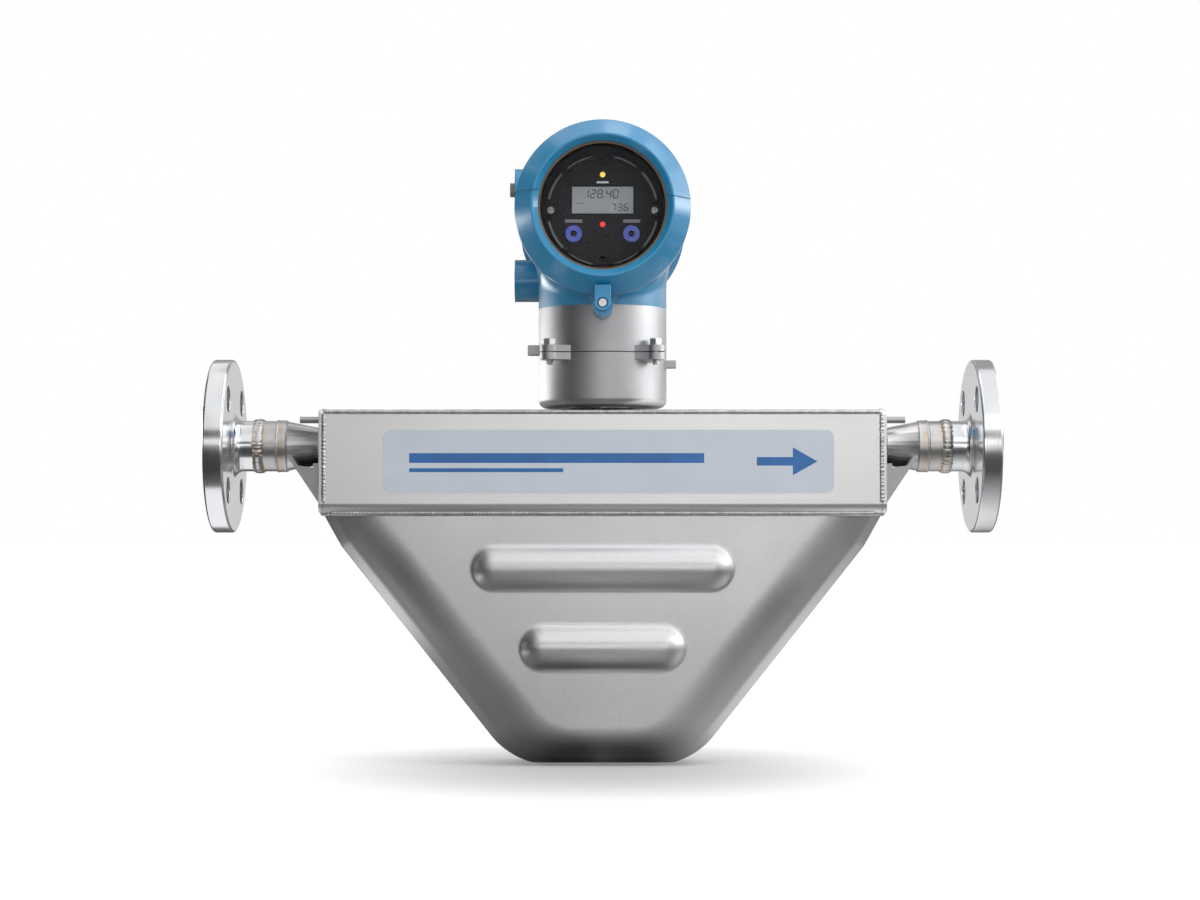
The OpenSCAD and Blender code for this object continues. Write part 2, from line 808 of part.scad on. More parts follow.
module neck_cup() {
    r = neck_d / 2;
    inner = r - neck_wall;
    color(alloy) {
        rotate_extrude() polygon(concat([[spigot_d / 2 + fit, cup_z]],
            arc(r - cup_fillet, cup_z + cup_fillet, cup_fillet, -90, 0),
            [[r, cup_top], [inner, cup_top], [inner, cup_z + cup_floor],
             [spigot_d / 2 + fit, cup_z + cup_floor]]));
        lugs(cup_top - cup_lug_t, cup_top);
        side_tab(OUTLET, neck_d / 2 + 6, cup_top - cup_lug_t - 3, cup_top - 3);
    }
}

module neck_ring() {
    r = neck_d / 2;
    color(alloy) {
        difference() {
            rod_z(neck_d, ring_z, neck_top);
            rod_z(neck_d - 2 * neck_wall, ring_z - 1, neck_top + 1);
        }
        lugs(ring_z, ring_z + ring_lug_t);
        side_tab(INLET, r + 7, ring_z, ring_z + ring_lug_t + 2);
    }
}

module neck_gasket() {
    color(black) difference() {
        rod_z(neck_d - 0.6, cup_top, ring_z);
        rod_z(neck_d - 2 * neck_wall, cup_top - 1, ring_z + 1);
    }
}

module neck_bolts() {
    head_h = 4;
    head_flats = neck_bolt_d + 3;
    tail = 3;
    color(bright_steel) for (a = [45:90:315]) rotate(a) translate([lug_circle_r, 0, 0]) {
        rod_z(neck_bolt_d, cup_top - cup_lug_t - tail, ring_z + ring_lug_t);
        rotate(30) translate([0, 0, ring_z + ring_lug_t])
            cylinder(d = head_flats / cos(30), h = head_h, $fn = 6);
    }
}

module core_processor() {
    side_clear = 2.5;
    headroom = 14;
    color(resin) rod_z(neck_d - 2 * neck_wall - 2 * side_clear, cup_z + cup_floor, neck_top - headroom);
}

// ---- Transmitter housing ----

partition_y = 6;
// Distance from the middle to the inner ends of the conduit entries
conduit_depth = 24;
// The wires' way from the neck up into the front chamber
wire_way_d = 16;
wire_way_y = 18;
lock_z = barrel_z - cover_d / 2 - lock_boss_d / 2 - 0.6;
lock_screw_z = lock_z + 1.4;
lock_face = barrel_half + 14;
neck_front = neck_d / 2 + 0.8;
base_wall = 6;
thread_bore_d = thread_d + 2 * fit;

module conduit_solid(rise) {
    rod_x(conduit_boss_d, -conduit_reach, -neck_d / 4, conduit_y, barrel_z + rise);
}
module conduit_bore(rise) {
    rod_x(conduit_d, -conduit_reach - 1, -conduit_depth, conduit_y, barrel_z + rise);
}

module lock_boss() {
    rod_y(lock_boss_d, -lock_face, -neck_front, z = lock_z);
    block([-lock_boss_d / 2, -barrel_half + 0.5, neck_top],
        [lock_boss_d / 2, -neck_d / 2 + 6, barrel_z - barrel_d / 2 + 2]);
    block([-lock_boss_d / 2, -barrel_half + 0.5, lock_z],
        [lock_boss_d / 2, -neck_front, neck_top]);
    // side ribs
    along_front(neck_front + 4, barrel_half - 0.5) polygon([
        [-lock_boss_d / 2 - 5, barrel_z - barrel_d / 2 + 2], [-lock_boss_d / 2 + 1, lock_z],
        [lock_boss_d / 2 - 1, lock_z], [lock_boss_d / 2 + 5, barrel_z - barrel_d / 2 + 2]]);
}

module transmitter_housing() {
    cavity_top = barrel_z - barrel_d / 2 - 1;
    color(paint_blue) difference() {
        union() {
            rod_y(barrel_d, -barrel_half, barrel_half, z = barrel_z);
            rod_z(neck_d, neck_top, barrel_z);
            conduit_solid(upper_conduit_rise);
            conduit_solid(-lower_conduit_drop);
            lock_boss();
        }
        rod_y(chamber_d, -barrel_half - 1, partition_y, z = barrel_z);
        rod_y(chamber_d, partition_y + partition_t, barrel_half + 1, z = barrel_z);
        for (s = [FRONT, REAR]) at_face(s)
            rod_y(thread_bore_d, -barrel_half - 1, -barrel_half + thread_l + 1, z = barrel_z);
        rod_z(neck_d - 2 * base_wall, neck_top - 1, cavity_top);
        rod_z(wire_way_d, cavity_top - 1, barrel_z - chamber_d / 2 + wire_way_d, 0, -wire_way_y);
        conduit_bore(upper_conduit_rise);
        conduit_bore(-lower_conduit_drop);
        rod_y(lock_screw_d + 2 * fit, -lock_face - 1, -lock_face + 14, z = lock_screw_z);
    }
}

module conduit_plug() {
    tip_l = 3.2;
    tip_d = 9;
    plug_l = 12;
    color(dark_steel) translate([0, conduit_y, barrel_z + upper_conduit_rise]) {
        rod_x(conduit_d - 2 * fit, -conduit_reach, -conduit_reach + plug_l);
        rod_x(tip_d, -conduit_reach - tip_l, -conduit_reach, $fn = 6);
    }
}

// ---- Covers ----

rim_back = barrel_half + 0.1;
rim_front = rim_back + rim_l;
ridge_f = rim_front + flank_l;
spigot_end = rim_back - thread_l;
seat_f = ridge_f - 5;
glass_gasket_t = 1;
retainer_t = 3;
seal_depth = 2.6;
seal_groove_d = thread_d - 2 * seal_depth;
seal_l = 2.2;
seal_play = 0.4;
groove_l = seal_l + 2 * seal_play;
ridge_w = 1.2;
ridge_outer_r = ridge_d / 2 + ridge_w / 2;
ridge_inner_r = ridge_d / 2 - ridge_w / 2;
// Distance of the notches' middle line above the barrel's axis
notch_rise = 2;

// What lies in front of the notch floor, within one diametral slot
module notch_cut(front_line) {
    intersection() {
        turned_y() polygon(front_line);
        translate([0, 0, barrel_z]) rotate([0, notch_turn, 0]) translate([0, 0, -barrel_z])
            block([-cover_d, -ridge_f - 1, barrel_z + notch_rise - notch_w / 2],
                [cover_d, -rim_back, barrel_z + notch_rise + notch_w / 2]);
    }
}

module display_cover() {
    color(paint_blue) difference() {
        turned_y() polygon([
            [pocket_d / 2, spigot_end], [thread_d / 2, spigot_end],
            [thread_d / 2, rim_back - groove_l], [seal_groove_d / 2, rim_back - groove_l],
            [seal_groove_d / 2, rim_back], [cover_d / 2, rim_back],
            [cover_d / 2, rim_front], [ridge_outer_r, ridge_f], [ridge_inner_r, ridge_f],
            [window_d / 2, seat_f + 1.5], [window_d / 2, seat_f],
            [pocket_d / 2, seat_f]]);
        notch_cut([
            [cover_d / 2 + 1, rim_front - notch_depth], [cover_d / 2, rim_front - notch_depth],
            [ridge_outer_r, ridge_f - notch_depth], [ridge_inner_r, ridge_f - notch_depth],
            [window_d / 2 + 1.2, seat_f + 1.5], [window_d / 2 + 1.2, ridge_f + 1],
            [cover_d / 2 + 1, ridge_f + 1]]);
    }
}

module wiring_cover() {
    dish = ridge_d / 2 - 4;
    skin_t = 4;
    color(paint_blue) at_face(REAR) difference() {
        turned_y() polygon([
            [0, seat_f - skin_t], [pocket_d / 2, seat_f - skin_t],
            [pocket_d / 2, spigot_end], [thread_d / 2, spigot_end],
            [thread_d / 2, rim_back - groove_l], [seal_groove_d / 2, rim_back - groove_l],
            [seal_groove_d / 2, rim_back], [cover_d / 2, rim_back],
            [cover_d / 2, rim_front], [ridge_outer_r, ridge_f], [ridge_inner_r, ridge_f],
            [dish, seat_f + 0.5], [0, seat_f + 0.5]]);
        notch_cut([
            [cover_d / 2 + 1, rim_front - notch_depth], [cover_d / 2, rim_front - notch_depth],
            [ridge_outer_r, ridge_f - notch_depth], [ridge_inner_r, ridge_f - notch_depth],
            [dish + 1.2, seat_f + 1.5], [dish + 1.2, ridge_f + 1],
            [cover_d / 2 + 1, ridge_f + 1]]);
    }
}

// A flat ring of the barrel's axis, from one distance to another
module ring_y(inner_d, outer_d, f0, f1) {
    turned_y() polygon([[inner_d / 2, f0], [outer_d / 2, f0], [outer_d / 2, f1], [inner_d / 2, f1]]);
}

module glass_gasket() {
    lip = 1.2;
    color(rubber_brown) ring_y(window_d - 2 * lip, glass_d, seat_f - glass_gasket_t, seat_f);
}
module cover_glass() {
    color([0.75, 0.85, 0.9, 0.3])
        rod_y(glass_d, -(seat_f - glass_gasket_t), -(seat_f - glass_gasket_t - glass_t), z = barrel_z);
}
module glass_retaining_ring() {
    f = seat_f - glass_gasket_t - glass_t;
    color(black) ring_y(window_d, pocket_d - 2 * fit, f - retainer_t, f);
}
module cover_seal(side) {
    color(black) at_face(side)
        ring_y(seal_groove_d + seal_play, thread_d - 0.3,
            rim_back - groove_l + seal_play, rim_back - seal_play);
}

// ---- Display ----

panel_face = barrel_half - panel_inset;
panel_back = panel_face - panel_t;

// Places on the panel, seen from the front
module on_panel(x, rise) {
    translate([x, 0, barrel_z + rise]) children();
}

// A raised arc of the guard ring between two angles
module guard_arc(a0, a1, w, h) {
    translate([0, -panel_face + 0.5, barrel_z]) rotate([90, 0, 0]) rotate([0, 0, a0])
        rotate_extrude(angle = a1 - a0)
            translate([guard_r - w / 2, 0]) square([w, h + 0.5]);
}

screw_x = guard_r - 0.7;
tab_rise = guard_r - 2.6;
tab_hole_d = 4.2;
screw_boss_d = 8;
screw_boss_h = 1;
panel_screw_d = 2.6;
lamp_rise = lcd_rise + lcd_h / 2 + 7.2;
window_rise = lcd_rise - lcd_h / 2 - 6.6;

module display_panel() {
    lamp_hole_d = lamp_d + 2 * fit;
    ledge = 0.9;
    color(black) difference() {
        union() {
            rod_y(panel_d, -panel_face, -panel_back, z = barrel_z);
            for (s = [0, 180]) {
                guard_arc(s + 50, s + 81, 2.4, 1.6);
                guard_arc(s + 99, s + 132, 2.4, 1.6);
                guard_arc(s + 135, s + 171, 3.4, 2.2);
                guard_arc(s + 189, s + 227, 3.4, 2.2);
            }
            for (rise = [-tab_rise, tab_rise])
                on_panel(0, rise) rod_y(2 * tab_hole_d, -panel_face - 1.6, -panel_face + 1);
            for (x = [-screw_x, screw_x])
                on_panel(x, 0) rod_y(screw_boss_d, -panel_face - screw_boss_h, -panel_face + 1);
            for (x = [-3.5, 3.5]) on_panel(x, -switch_drop)
                block([-1.9, -panel_face - 1.2, -1.1], [1.9, -panel_face + 1, 1.1]);
        }
        on_panel(0, lcd_rise) {
            block([-lcd_w / 2, -panel_face - 1, -lcd_h / 2], [lcd_w / 2, -panel_back, lcd_h / 2]);
            block([-lcd_w / 2 - 1, -panel_face + ledge, -lcd_h / 2 - 1],
                [lcd_w / 2 + 1, -panel_back + 1, lcd_h / 2 + 1]);
        }
        for (rise = [lamp_rise, window_rise])
            on_panel(0, rise) rod_y(lamp_hole_d, -panel_face - 1, -panel_back + 1);
        for (x = [-switch_x, switch_x])
            on_panel(x, -switch_drop) rod_y(switch_d + 2 * fit, -panel_face - 1, -panel_face + 2);
        for (rise = [-tab_rise, tab_rise])
            on_panel(0, rise) rod_y(tab_hole_d, -panel_face - 3, -panel_face + 1.5);
        for (x = [-screw_x, screw_x])
            on_panel(x, 0) rod_y(panel_screw_d, -panel_face - 2, -panel_back + 1);
        for (x = [-3.5, 3.5]) on_panel(x, -switch_drop)
            block([-1.1, -panel_face - 2, -1.5], [1.1, -panel_face, 0.4]);
    }
}

module lcd_screen() {
    color(lcd_grey) on_panel(0, lcd_rise) block(
        [-lcd_w / 2 - 1 + fit, -panel_face + 0.9 + fit, -lcd_h / 2 - 1 + fit],
        [lcd_w / 2 + 1 - fit, -panel_back, lcd_h / 2 + 1 - fit]);
}

module display_screws() {
    head_f = panel_face + screw_boss_h;
    color(bright_steel) for (x = [-screw_x, screw_x]) on_panel(x, 0) difference() {
        union() {
            rod_y(4.6, -head_f - 1.4, -head_f);
            rod_y(panel_screw_d - 2 * fit, -head_f, -panel_back);
        }
        block([-0.35, -head_f - 2, -1.6], [0.35, -head_f - 0.6, 1.6]);
        block([-1.6, -head_f - 2, -0.35], [1.6, -head_f - 0.6, 0.35]);
    }
}

module status_lamp() {
    color("gold") on_panel(0, lamp_rise) rod_y(lamp_d, -panel_face - 0.5, -panel_back);
}
module infrared_window() {
    color("crimson") on_panel(0, window_rise) rod_y(lamp_d, -panel_face - 0.4, -panel_back);
}
module switch_window(side) {
    color(window_blue) on_panel(side * switch_x, -switch_drop) difference() {
        rod_y(switch_d, -panel_face - 0.6, -panel_face + 2);
        rod_y(3.9, -panel_face - 1, -panel_face + 1.2);
    }
}

module electronics_module() {
    color(resin) rod_y(chamber_d - 4, -panel_back, partition_y, z = barrel_z);
}

terminal_y = partition_y + partition_t;
terminal_t = 13;
terminal_pitch = 10;
terminal_row = 8;
terminal_w = 56;
terminal_h = 30;
terminal_hole_d = 6.4;
terminal_hole_l = 3;

module terminal_places() {
    for (i = [-2:2], rise = [-terminal_row, terminal_row])
        translate([i * terminal_pitch, 0, barrel_z + rise]) children();
}
module terminal_block() {
    color(resin) difference() {
        union() {
            rod_y(chamber_d - 4, terminal_y, terminal_y + 3, z = barrel_z);
            block([-terminal_w / 2, terminal_y + 2, barrel_z - terminal_h / 2],
                [terminal_w / 2, terminal_y + terminal_t, barrel_z + terminal_h / 2]);
        }
        terminal_places()
            rod_y(terminal_hole_d, terminal_y + terminal_t - terminal_hole_l, terminal_y + terminal_t + 1);
    }
}
module terminal_screws() {
    seat = terminal_y + terminal_t - terminal_hole_l;
    color(bright_steel) terminal_places() difference() {
        rod_y(terminal_hole_d - 0.8, seat, seat + 2.4);
        block([-2, seat + 1.4, -0.4], [2, seat + 3, 0.4]);
    }
}

// ---- Cover lock ----

// The clamp's front outline: round about its screw, straight up to its tip
module clamp_plan(top) {
    translate([0, lock_screw_z]) circle(d = clamp_w);
    translate([-clamp_w / 2, lock_screw_z]) square([clamp_w, top - lock_screw_z]);
}
tip_z = lock_screw_z + clamp_tip;
// The flank's distance to the front at the height of the clamp's tip
flank_at_tip = rim_front + (cover_d / 2 - (barrel_z - tip_z)) * flank_l / (cover_d / 2 - ridge_outer_r);
clamp_back = flank_at_tip + gap;
clamp_front = clamp_back + clamp_t;

module cover_lock_clamp() {
    foot_top = barrel_z - cover_d / 2 - 1;
    color(paint_blue) difference() {
        union() {
            along_front(clamp_back, clamp_front) clamp_plan(tip_z);
            along_front(lock_face, clamp_back + 0.5) clamp_plan(foot_top);
        }
        rod_y(lock_screw_d + 0.3, -clamp_front - 1, -lock_face + 1, z = lock_screw_z);
        rod_y(5.9, -clamp_front - 1, -clamp_front + 2, z = lock_screw_z);
    }
}

module cover_lock_screw() {
    head_d = lock_screw_d + 1.7;
    color(bright_steel) difference() {
        union() {
            rod_y(head_d, -clamp_front - 0.2, -clamp_front + 2, z = lock_screw_z);
            rod_y(lock_screw_d, -clamp_front + 1, -lock_face + 12, z = lock_screw_z);
        }
        rod_y(2.5, -clamp_front - 1, -clamp_front + 1, z = lock_screw_z, $fn = 6);
    }
}

flange(INLET);  // inlet_flange
flange(OUTLET);  // outlet_flange
manifold(INLET);  // inlet_manifold
manifold(OUTLET);  // outlet_manifold
bracket(INLET);  // inlet_bracket
bracket(OUTLET);  // outlet_bracket
case_channel();
case_top_plate();
end_plate(INLET);  // inlet_end_plate
end_plate(OUTLET);  // outlet_end_plate
case_shell(FRONT);  // front_case_shell
case_shell(REAR);  // rear_case_shell
flow_tube(FRONT);  // front_flow_tube
flow_tube(REAR);  // rear_flow_tube
tube_brace(INLET);  // inlet_tube_brace
tube_brace(OUTLET);  // outlet_tube_brace
drive_coil();
drive_magnet();
pickoff_coil(INLET);  // inlet_pickoff_coil
pickoff_coil(OUTLET);  // outlet_pickoff_coil
pickoff_magnet(INLET);  // inlet_pickoff_magnet
pickoff_magnet(OUTLET);  // outlet_pickoff_magnet
tube_temperature_sensor();
lead_board();
sensor_leads();
purge_stub(INLET);  // inlet_purge_stub
purge_stub(OUTLET);  // outlet_purge_stub
front_label_plate();
neck_stem();
neck_cup();
neck_ring();
neck_gasket();
neck_bolts();
core_processor();
transmitter_housing();
display_cover();
cover_glass();
glass_gasket();
glass_retaining_ring();
cover_seal(FRONT);  // display_cover_seal
display_panel();
lcd_screen();
display_screws();
status_lamp();
infrared_window();
switch_window(INLET);  // scroll_switch_window
switch_window(OUTLET);  // select_switch_window
electronics_module();
terminal_block();
terminal_screws();
wiring_cover();
cover_seal(REAR);  // wiring_cover_seal
cover_lock_clamp();
cover_lock_screw();
conduit_plug();
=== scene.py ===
# %% [markdown]
# # Dressing a flanged flow meter
# The CAD model already holds every piece of this meter at its true size and
# place. This script gives each surface its finish. It swaps the plainer CAD
# pieces for finer meshes, such as the pressed lower case, the two screwed
# covers and the neck bolts, and it adds weld beads, print and soft edges. One
# file does it all from top to bottom.

# %% Load the CAD frame
import math

import bmesh
import bpy
import numpy as np
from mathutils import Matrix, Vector


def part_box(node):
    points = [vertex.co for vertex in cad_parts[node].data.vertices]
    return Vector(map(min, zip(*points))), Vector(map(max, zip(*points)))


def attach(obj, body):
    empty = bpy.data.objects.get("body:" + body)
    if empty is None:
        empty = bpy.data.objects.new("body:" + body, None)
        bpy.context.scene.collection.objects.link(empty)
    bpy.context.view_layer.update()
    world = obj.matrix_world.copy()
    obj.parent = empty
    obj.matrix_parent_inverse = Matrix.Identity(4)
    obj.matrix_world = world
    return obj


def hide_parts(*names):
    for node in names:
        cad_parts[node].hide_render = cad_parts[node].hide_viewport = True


scene = bpy.context.scene
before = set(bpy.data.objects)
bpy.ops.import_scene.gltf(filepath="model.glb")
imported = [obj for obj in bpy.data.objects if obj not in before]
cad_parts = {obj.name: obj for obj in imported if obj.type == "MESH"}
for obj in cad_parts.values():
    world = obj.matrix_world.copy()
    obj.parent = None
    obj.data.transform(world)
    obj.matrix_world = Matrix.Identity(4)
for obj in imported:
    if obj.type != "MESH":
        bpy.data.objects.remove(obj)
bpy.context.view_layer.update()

# %% [markdown]
# ## Places that later cells share
# The main sizes come from the CAD boxes, so the new pieces keep to the model.
# `x`, `y` and `z` run along the pipe, away from the display, and upwards.

# %% Read the main places
MM = 0.001


def span(node, axis):
    """The lowest and highest value of a node's box along one axis, in metres."""
    low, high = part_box(node)
    return low[axis], high[axis]


def box_mm(node):
    """The lowest and the highest corner of a node's box, in millimetres."""
    return [np.array(corner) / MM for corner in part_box(node)]


barrel_z = sum(span("display_cover", 2)) / 2
pipe_z = sum(span("inlet_flange", 2)) / 2
box_floor = span("case_channel", 2)[0]
box_top = span("case_top_plate", 2)[1]
box_half_x = span("outlet_end_plate", 0)[1]
box_half_y = span("case_channel", 1)[1]
print("barrel axis %.4f, pipe axis %.4f, case top %.4f" % (barrel_z, pipe_z, box_top))

# %% [markdown]
# ## The camera
# A long lens far away keeps a product's proportions: the pipe ends look barely
# smaller than the middle. The camera stands level with the lower case and is
# tipped up a little, which keeps the sensor shift at zero.

# %% Set up the camera
camera_data = bpy.data.cameras.new("product_camera")
camera_data.sensor_width = 36.0
camera_data.lens = 74.2
camera = bpy.data.objects.new("product_camera", camera_data)
camera.location = (-0.0016, -1.546, 0.1447)
camera.rotation_euler = (math.radians(91.85), 0.0, 0.0)
scene.collection.objects.link(camera)
scene.camera = camera
print("camera at", tuple(round(c, 3) for c in camera.location))

# %% [markdown]
# ## Helpers for meshes
# Nearly every new piece below is a grid of points worked out with numpy. A grid
# knows its rows and columns, so its faces follow from counting. The helpers
# turn such a grid into a Blender mesh that sits at the origin and rides on a
# body of the CAD model, merge its doubled points and turn its faces outwards.


# %% Mesh helpers
def full_turn(count):
    """Evenly spaced angles of a full turn, in radians."""
    return np.arange(count) * 2 * math.pi / count


def grid_faces(rows, cols, closed_rows=False, closed_cols=False, first=0):
    """Quads of a grid whose points are numbered row by row. Each quad joins a
    point, its right neighbour and the two above them. A closed direction also
    joins its last line to its first."""
    index = first + np.arange(rows * cols).reshape(rows, cols)
    if closed_rows:
        index = np.vstack([index, index[:1]])
    if closed_cols:
        index = np.hstack([index, index[:, :1]])
    return np.stack([index[:-1, :-1], index[:-1, 1:], index[1:, 1:], index[1:, :-1]], -1).reshape(-1, 4)


def add_piece(name, points, faces, body, slot, material, smooth=True):
    """Makes a mesh object from points and faces, gives it a material and lets it ride on a CAD body. The slot
    is not used. Faces are an array of quads or a list."""
    mesh = bpy.data.meshes.new(name)
    face_list = faces.tolist() if isinstance(faces, np.ndarray) else faces
    mesh.from_pydata(np.asarray(points, float).reshape(-1, 3).tolist(), [], face_list)
    mesh.validate()
    if smooth:
        mesh.shade_smooth()
    else:
        mesh.shade_flat()
    piece = bpy.data.objects.new(name, mesh)
    scene.collection.objects.link(piece)
    piece.data.materials.append(material)
    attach(piece, body)
    return piece


def tidy_mesh(piece, merge=1e-6, sharp_angle=None, outward=True):
    """Merges points that coincide, drops faces without area and turns the rest
    outwards. With an angle, edges bent more than it are marked sharp."""
    work = bmesh.new()
    work.from_mesh(piece.data)
    bmesh.ops.remove_doubles(work, verts=work.verts, dist=merge)
    bmesh.ops.dissolve_degenerate(work, edges=work.edges, dist=merge)
    if outward:
        bmesh.ops.recalc_face_normals(work, faces=work.faces)
    work.to_mesh(piece.data)
    work.free()
    if sharp_angle is not None:
        piece.data.set_sharp_from_angle(angle=math.radians(sharp_angle))
    return piece


print("mesh helpers ready")

# %% [markdown]
# ## Helpers for materials
# Materials are built from nodes, and adding and linking nodes by hand takes many
# lines. A small class keeps each step on one line, so that the recipes further
# down can be read.


# %% A short way to add nodes
def new_group(name, inputs, outputs):
    """An empty shader node group with the given sockets. Inputs are (name,
    type, default) and outputs are (name, type)."""
    group = bpy.data.node_groups.new(name, "ShaderNodeTree")
    for label, kind, default in inputs:
        socket = group.interface.new_socket(label, in_out="INPUT", socket_type="NodeSocket" + kind)
        if default is not None:
            socket.default_value = default
    for label, kind in outputs:
        group.interface.new_socket(label, in_out="OUTPUT", socket_type="NodeSocket" + kind)
    return group, group.nodes.new("NodeGroupInput"), group.nodes.new("NodeGroupOutput")


class Tree:
    """A short way to add nodes to a tree and to link their sockets."""

    def __init__(self, tree):
        self.tree = tree

    def add(self, kind, **settings):
        """Adds a node. Settings that name a socket set or link it, with spaces
        written as underscores; the rest are the node's own properties."""
        node = self.tree.nodes.new("ShaderNode" + kind)
        for key, value in settings.items():
            label = key.replace("_", " ")
            if hasattr(node, key) and key.islower():
                setattr(node, key, value)
            elif label in node.inputs:
                self.put(node.inputs[label], value)
            elif key[0] == "i" and key[1:].isdigit():
                self.put(node.inputs[int(key[1:])], value)
            else:
                raise KeyError(kind + ": " + key)
        return node

    def put(self, socket, value):
        """Links a socket to another one, or sets its plain value."""
        if isinstance(value, bpy.types.NodeSocket):
            self.tree.links.new(value, socket)
        else:
            socket.default_value = value

    def math(self, operation, a, b=0.0, clamp=False):
        """One Math node; returns its output."""
        return self.add("Math", operation=operation, use_clamp=clamp, i0=a, i1=b).outputs[0]

    def mix(self, factor, a, b):
        """Mixes two colours; returns the colour."""
        node = self.add("Mix", data_type="RGBA", i0=factor)
        self.put(node.inputs[6], a)
        self.put(node.inputs[7], b)
        return node.outputs[2]

    def ramp(self, value, stops):
        """A colour ramp with stops of (place, colour); returns the colour."""
        node = self.add("ValToRGB", i0=value)
        elements = node.color_ramp.elements
        elements.remove(elements[1])
        elements[0].position = stops[0][0]
        elements[0].color = (*stops[0][1], 1.0)
        for place, colour in stops[1:]:
            elements.new(place).color = (*colour, 1.0)
        return node.outputs[0]


print("node helpers ready")

# %% [markdown]
# Steel, paint and plastic differ in colour, but they share a few effects: fine
# grain, soft patches where hands and cloths have been, and turning marks. Each
# effect is one node group with named sockets, built once. The Principled
# shader itself stays in each material.


# %% Shared node groups
def build_grain_group():
    """Fine grain: two octaves of noise, the finer one a third as strong. Height
    is their sum, and Mask is the coarse one stretched to black and white."""
    group, source, target = new_group(
        "Fine grain",
        [("Vector", "Vector", None), ("Scale", "Float", 900.0)],
        [("Height", "Float"), ("Mask", "Float")],
    )
    t = Tree(group)
    coarse = t.add("TexNoise", Vector=source.outputs["Vector"], Scale=source.outputs["Scale"], Detail=2.0)
    fine_scale = t.math("MULTIPLY", source.outputs["Scale"], 3.1)
    fine = t.add("TexNoise", Vector=source.outputs["Vector"], Scale=fine_scale, Detail=1.0)
    height = t.math("ADD", coarse.outputs[0], t.math("MULTIPLY", fine.outputs[0], 0.35))
    mask = t.add("MapRange", Value=coarse.outputs[0], From_Min=0.35, From_Max=0.65)
    group.links.new(height, target.inputs["Height"])
    group.links.new(mask.outputs[0], target.inputs["Mask"])
    return group


def build_patch_group():
    """Soft patches: slow noise warped by a second noise, so that no edge runs
    straight. The mask goes from 0 to 1 over most of the surface."""
    group, source, target = new_group(
        "Soft patches",
        [("Vector", "Vector", None), ("Scale", "Float", 14.0), ("Warp", "Float", 0.02)],
        [("Mask", "Float")],
    )
    t = Tree(group)
    warp = t.add("TexNoise", Vector=source.outputs["Vector"], Scale=source.outputs["Scale"], Detail=1.0)
    shift = t.add("VectorMath", operation="SCALE", i0=warp.outputs[1])
    group.links.new(source.outputs["Warp"], shift.inputs["Scale"])
    moved = t.add("VectorMath", operation="ADD", i0=source.outputs["Vector"], i1=shift.outputs[0])
    patch = t.add("TexNoise", Vector=moved.outputs[0], Scale=source.outputs["Scale"], Detail=3.0)
    mask = t.add(
        "MapRange", Value=patch.outputs[0], From_Min=0.3, From_Max=0.7, interpolation_type="SMOOTHSTEP"
    )
    group.links.new(mask.outputs[0], target.inputs["Mask"])
    return group


def build_turning_group():
    """Turning marks: rings about an axis along X at a given height. The radius
    is the distance from that axis, and Rings is noise over the radius counted
    in pitches, so that the rings come out uneven."""
    group, source, target = new_group(
        "Turning marks",
        [("Vector", "Vector", None), ("Axis Height", "Float", 0.2), ("Pitch", "Float", 0.0008)],
        [("Rings", "Float")],
    )
    t = Tree(group)
    parts = t.add("SeparateXYZ", i0=source.outputs["Vector"])
    up = t.math("SUBTRACT", parts.outputs[2], source.outputs["Axis Height"])
    aside = t.math("MULTIPLY", parts.outputs[1], parts.outputs[1])
    radius = t.math("SQRT", t.math("ADD", aside, t.math("MULTIPLY", up, up)))
    ring_count = t.math("DIVIDE", radius, source.outputs["Pitch"])
    place = t.add("CombineXYZ", i0=ring_count, i1=t.math("MULTIPLY", parts.outputs[0], 900.0))
    rings = t.add("TexNoise", Vector=place.outputs[0], Scale=1.0, Detail=2.0)
    group.links.new(rings.outputs[0], target.inputs["Rings"])
    return group


grain_group = build_grain_group()
patch_group = build_patch_group()
turning_group = build_turning_group()
print("node groups:", [g.name for g in bpy.data.node_groups])

# %% [markdown]
# Every material starts in the same way: a Principled shader, its plain values,
# and Object coordinates, which stay with the metal when the piece moves.


# %% Start a material
def place_group(t, group, **values):
    """Puts a shared group into a tree and sets or links its inputs."""
    node = t.tree.nodes.new("ShaderNodeGroup")
    node.node_tree = group
    for key, value in values.items():
        t.put(node.inputs[key.replace("_", " ")], value)
    return node


def start_material(name, **plain):
    """A material with a Principled shader and Object coordinates. Plain values
    go straight onto the shader's own sockets."""
    material = bpy.data.materials.new(name)
    material.use_nodes = True
    t = Tree(material.node_tree)
    shader = material.node_tree.nodes["Principled BSDF"]
    for label, value in plain.items():
        shader.inputs[label.replace("_", " ")].default_value = value
    place = t.add("TexCoord").outputs["Object"]
    return material, t, shader, place


def bump(t, shader, height, distance):
    """Feeds a height through a Bump node into the shader's normal."""
    node = t.add("Bump", Height=height, Distance=distance)
    t.put(shader.inputs["Normal"], node.outputs[0])


print("material helpers ready")

# %% [markdown]
# ## Metals
# The meter shows several steels. The lower case is sheet that was blasted with
# glass beads, so it is matt and finely pitted. The upper case is brushed along
# its length, the flanges are turned and nearly bright, and the neck is cast.
# The manifolds are satin, with a tint of heat at their welds. All steels are
# fully metallic. They show what they reflect, and their tone and roughness
# tell them apart.


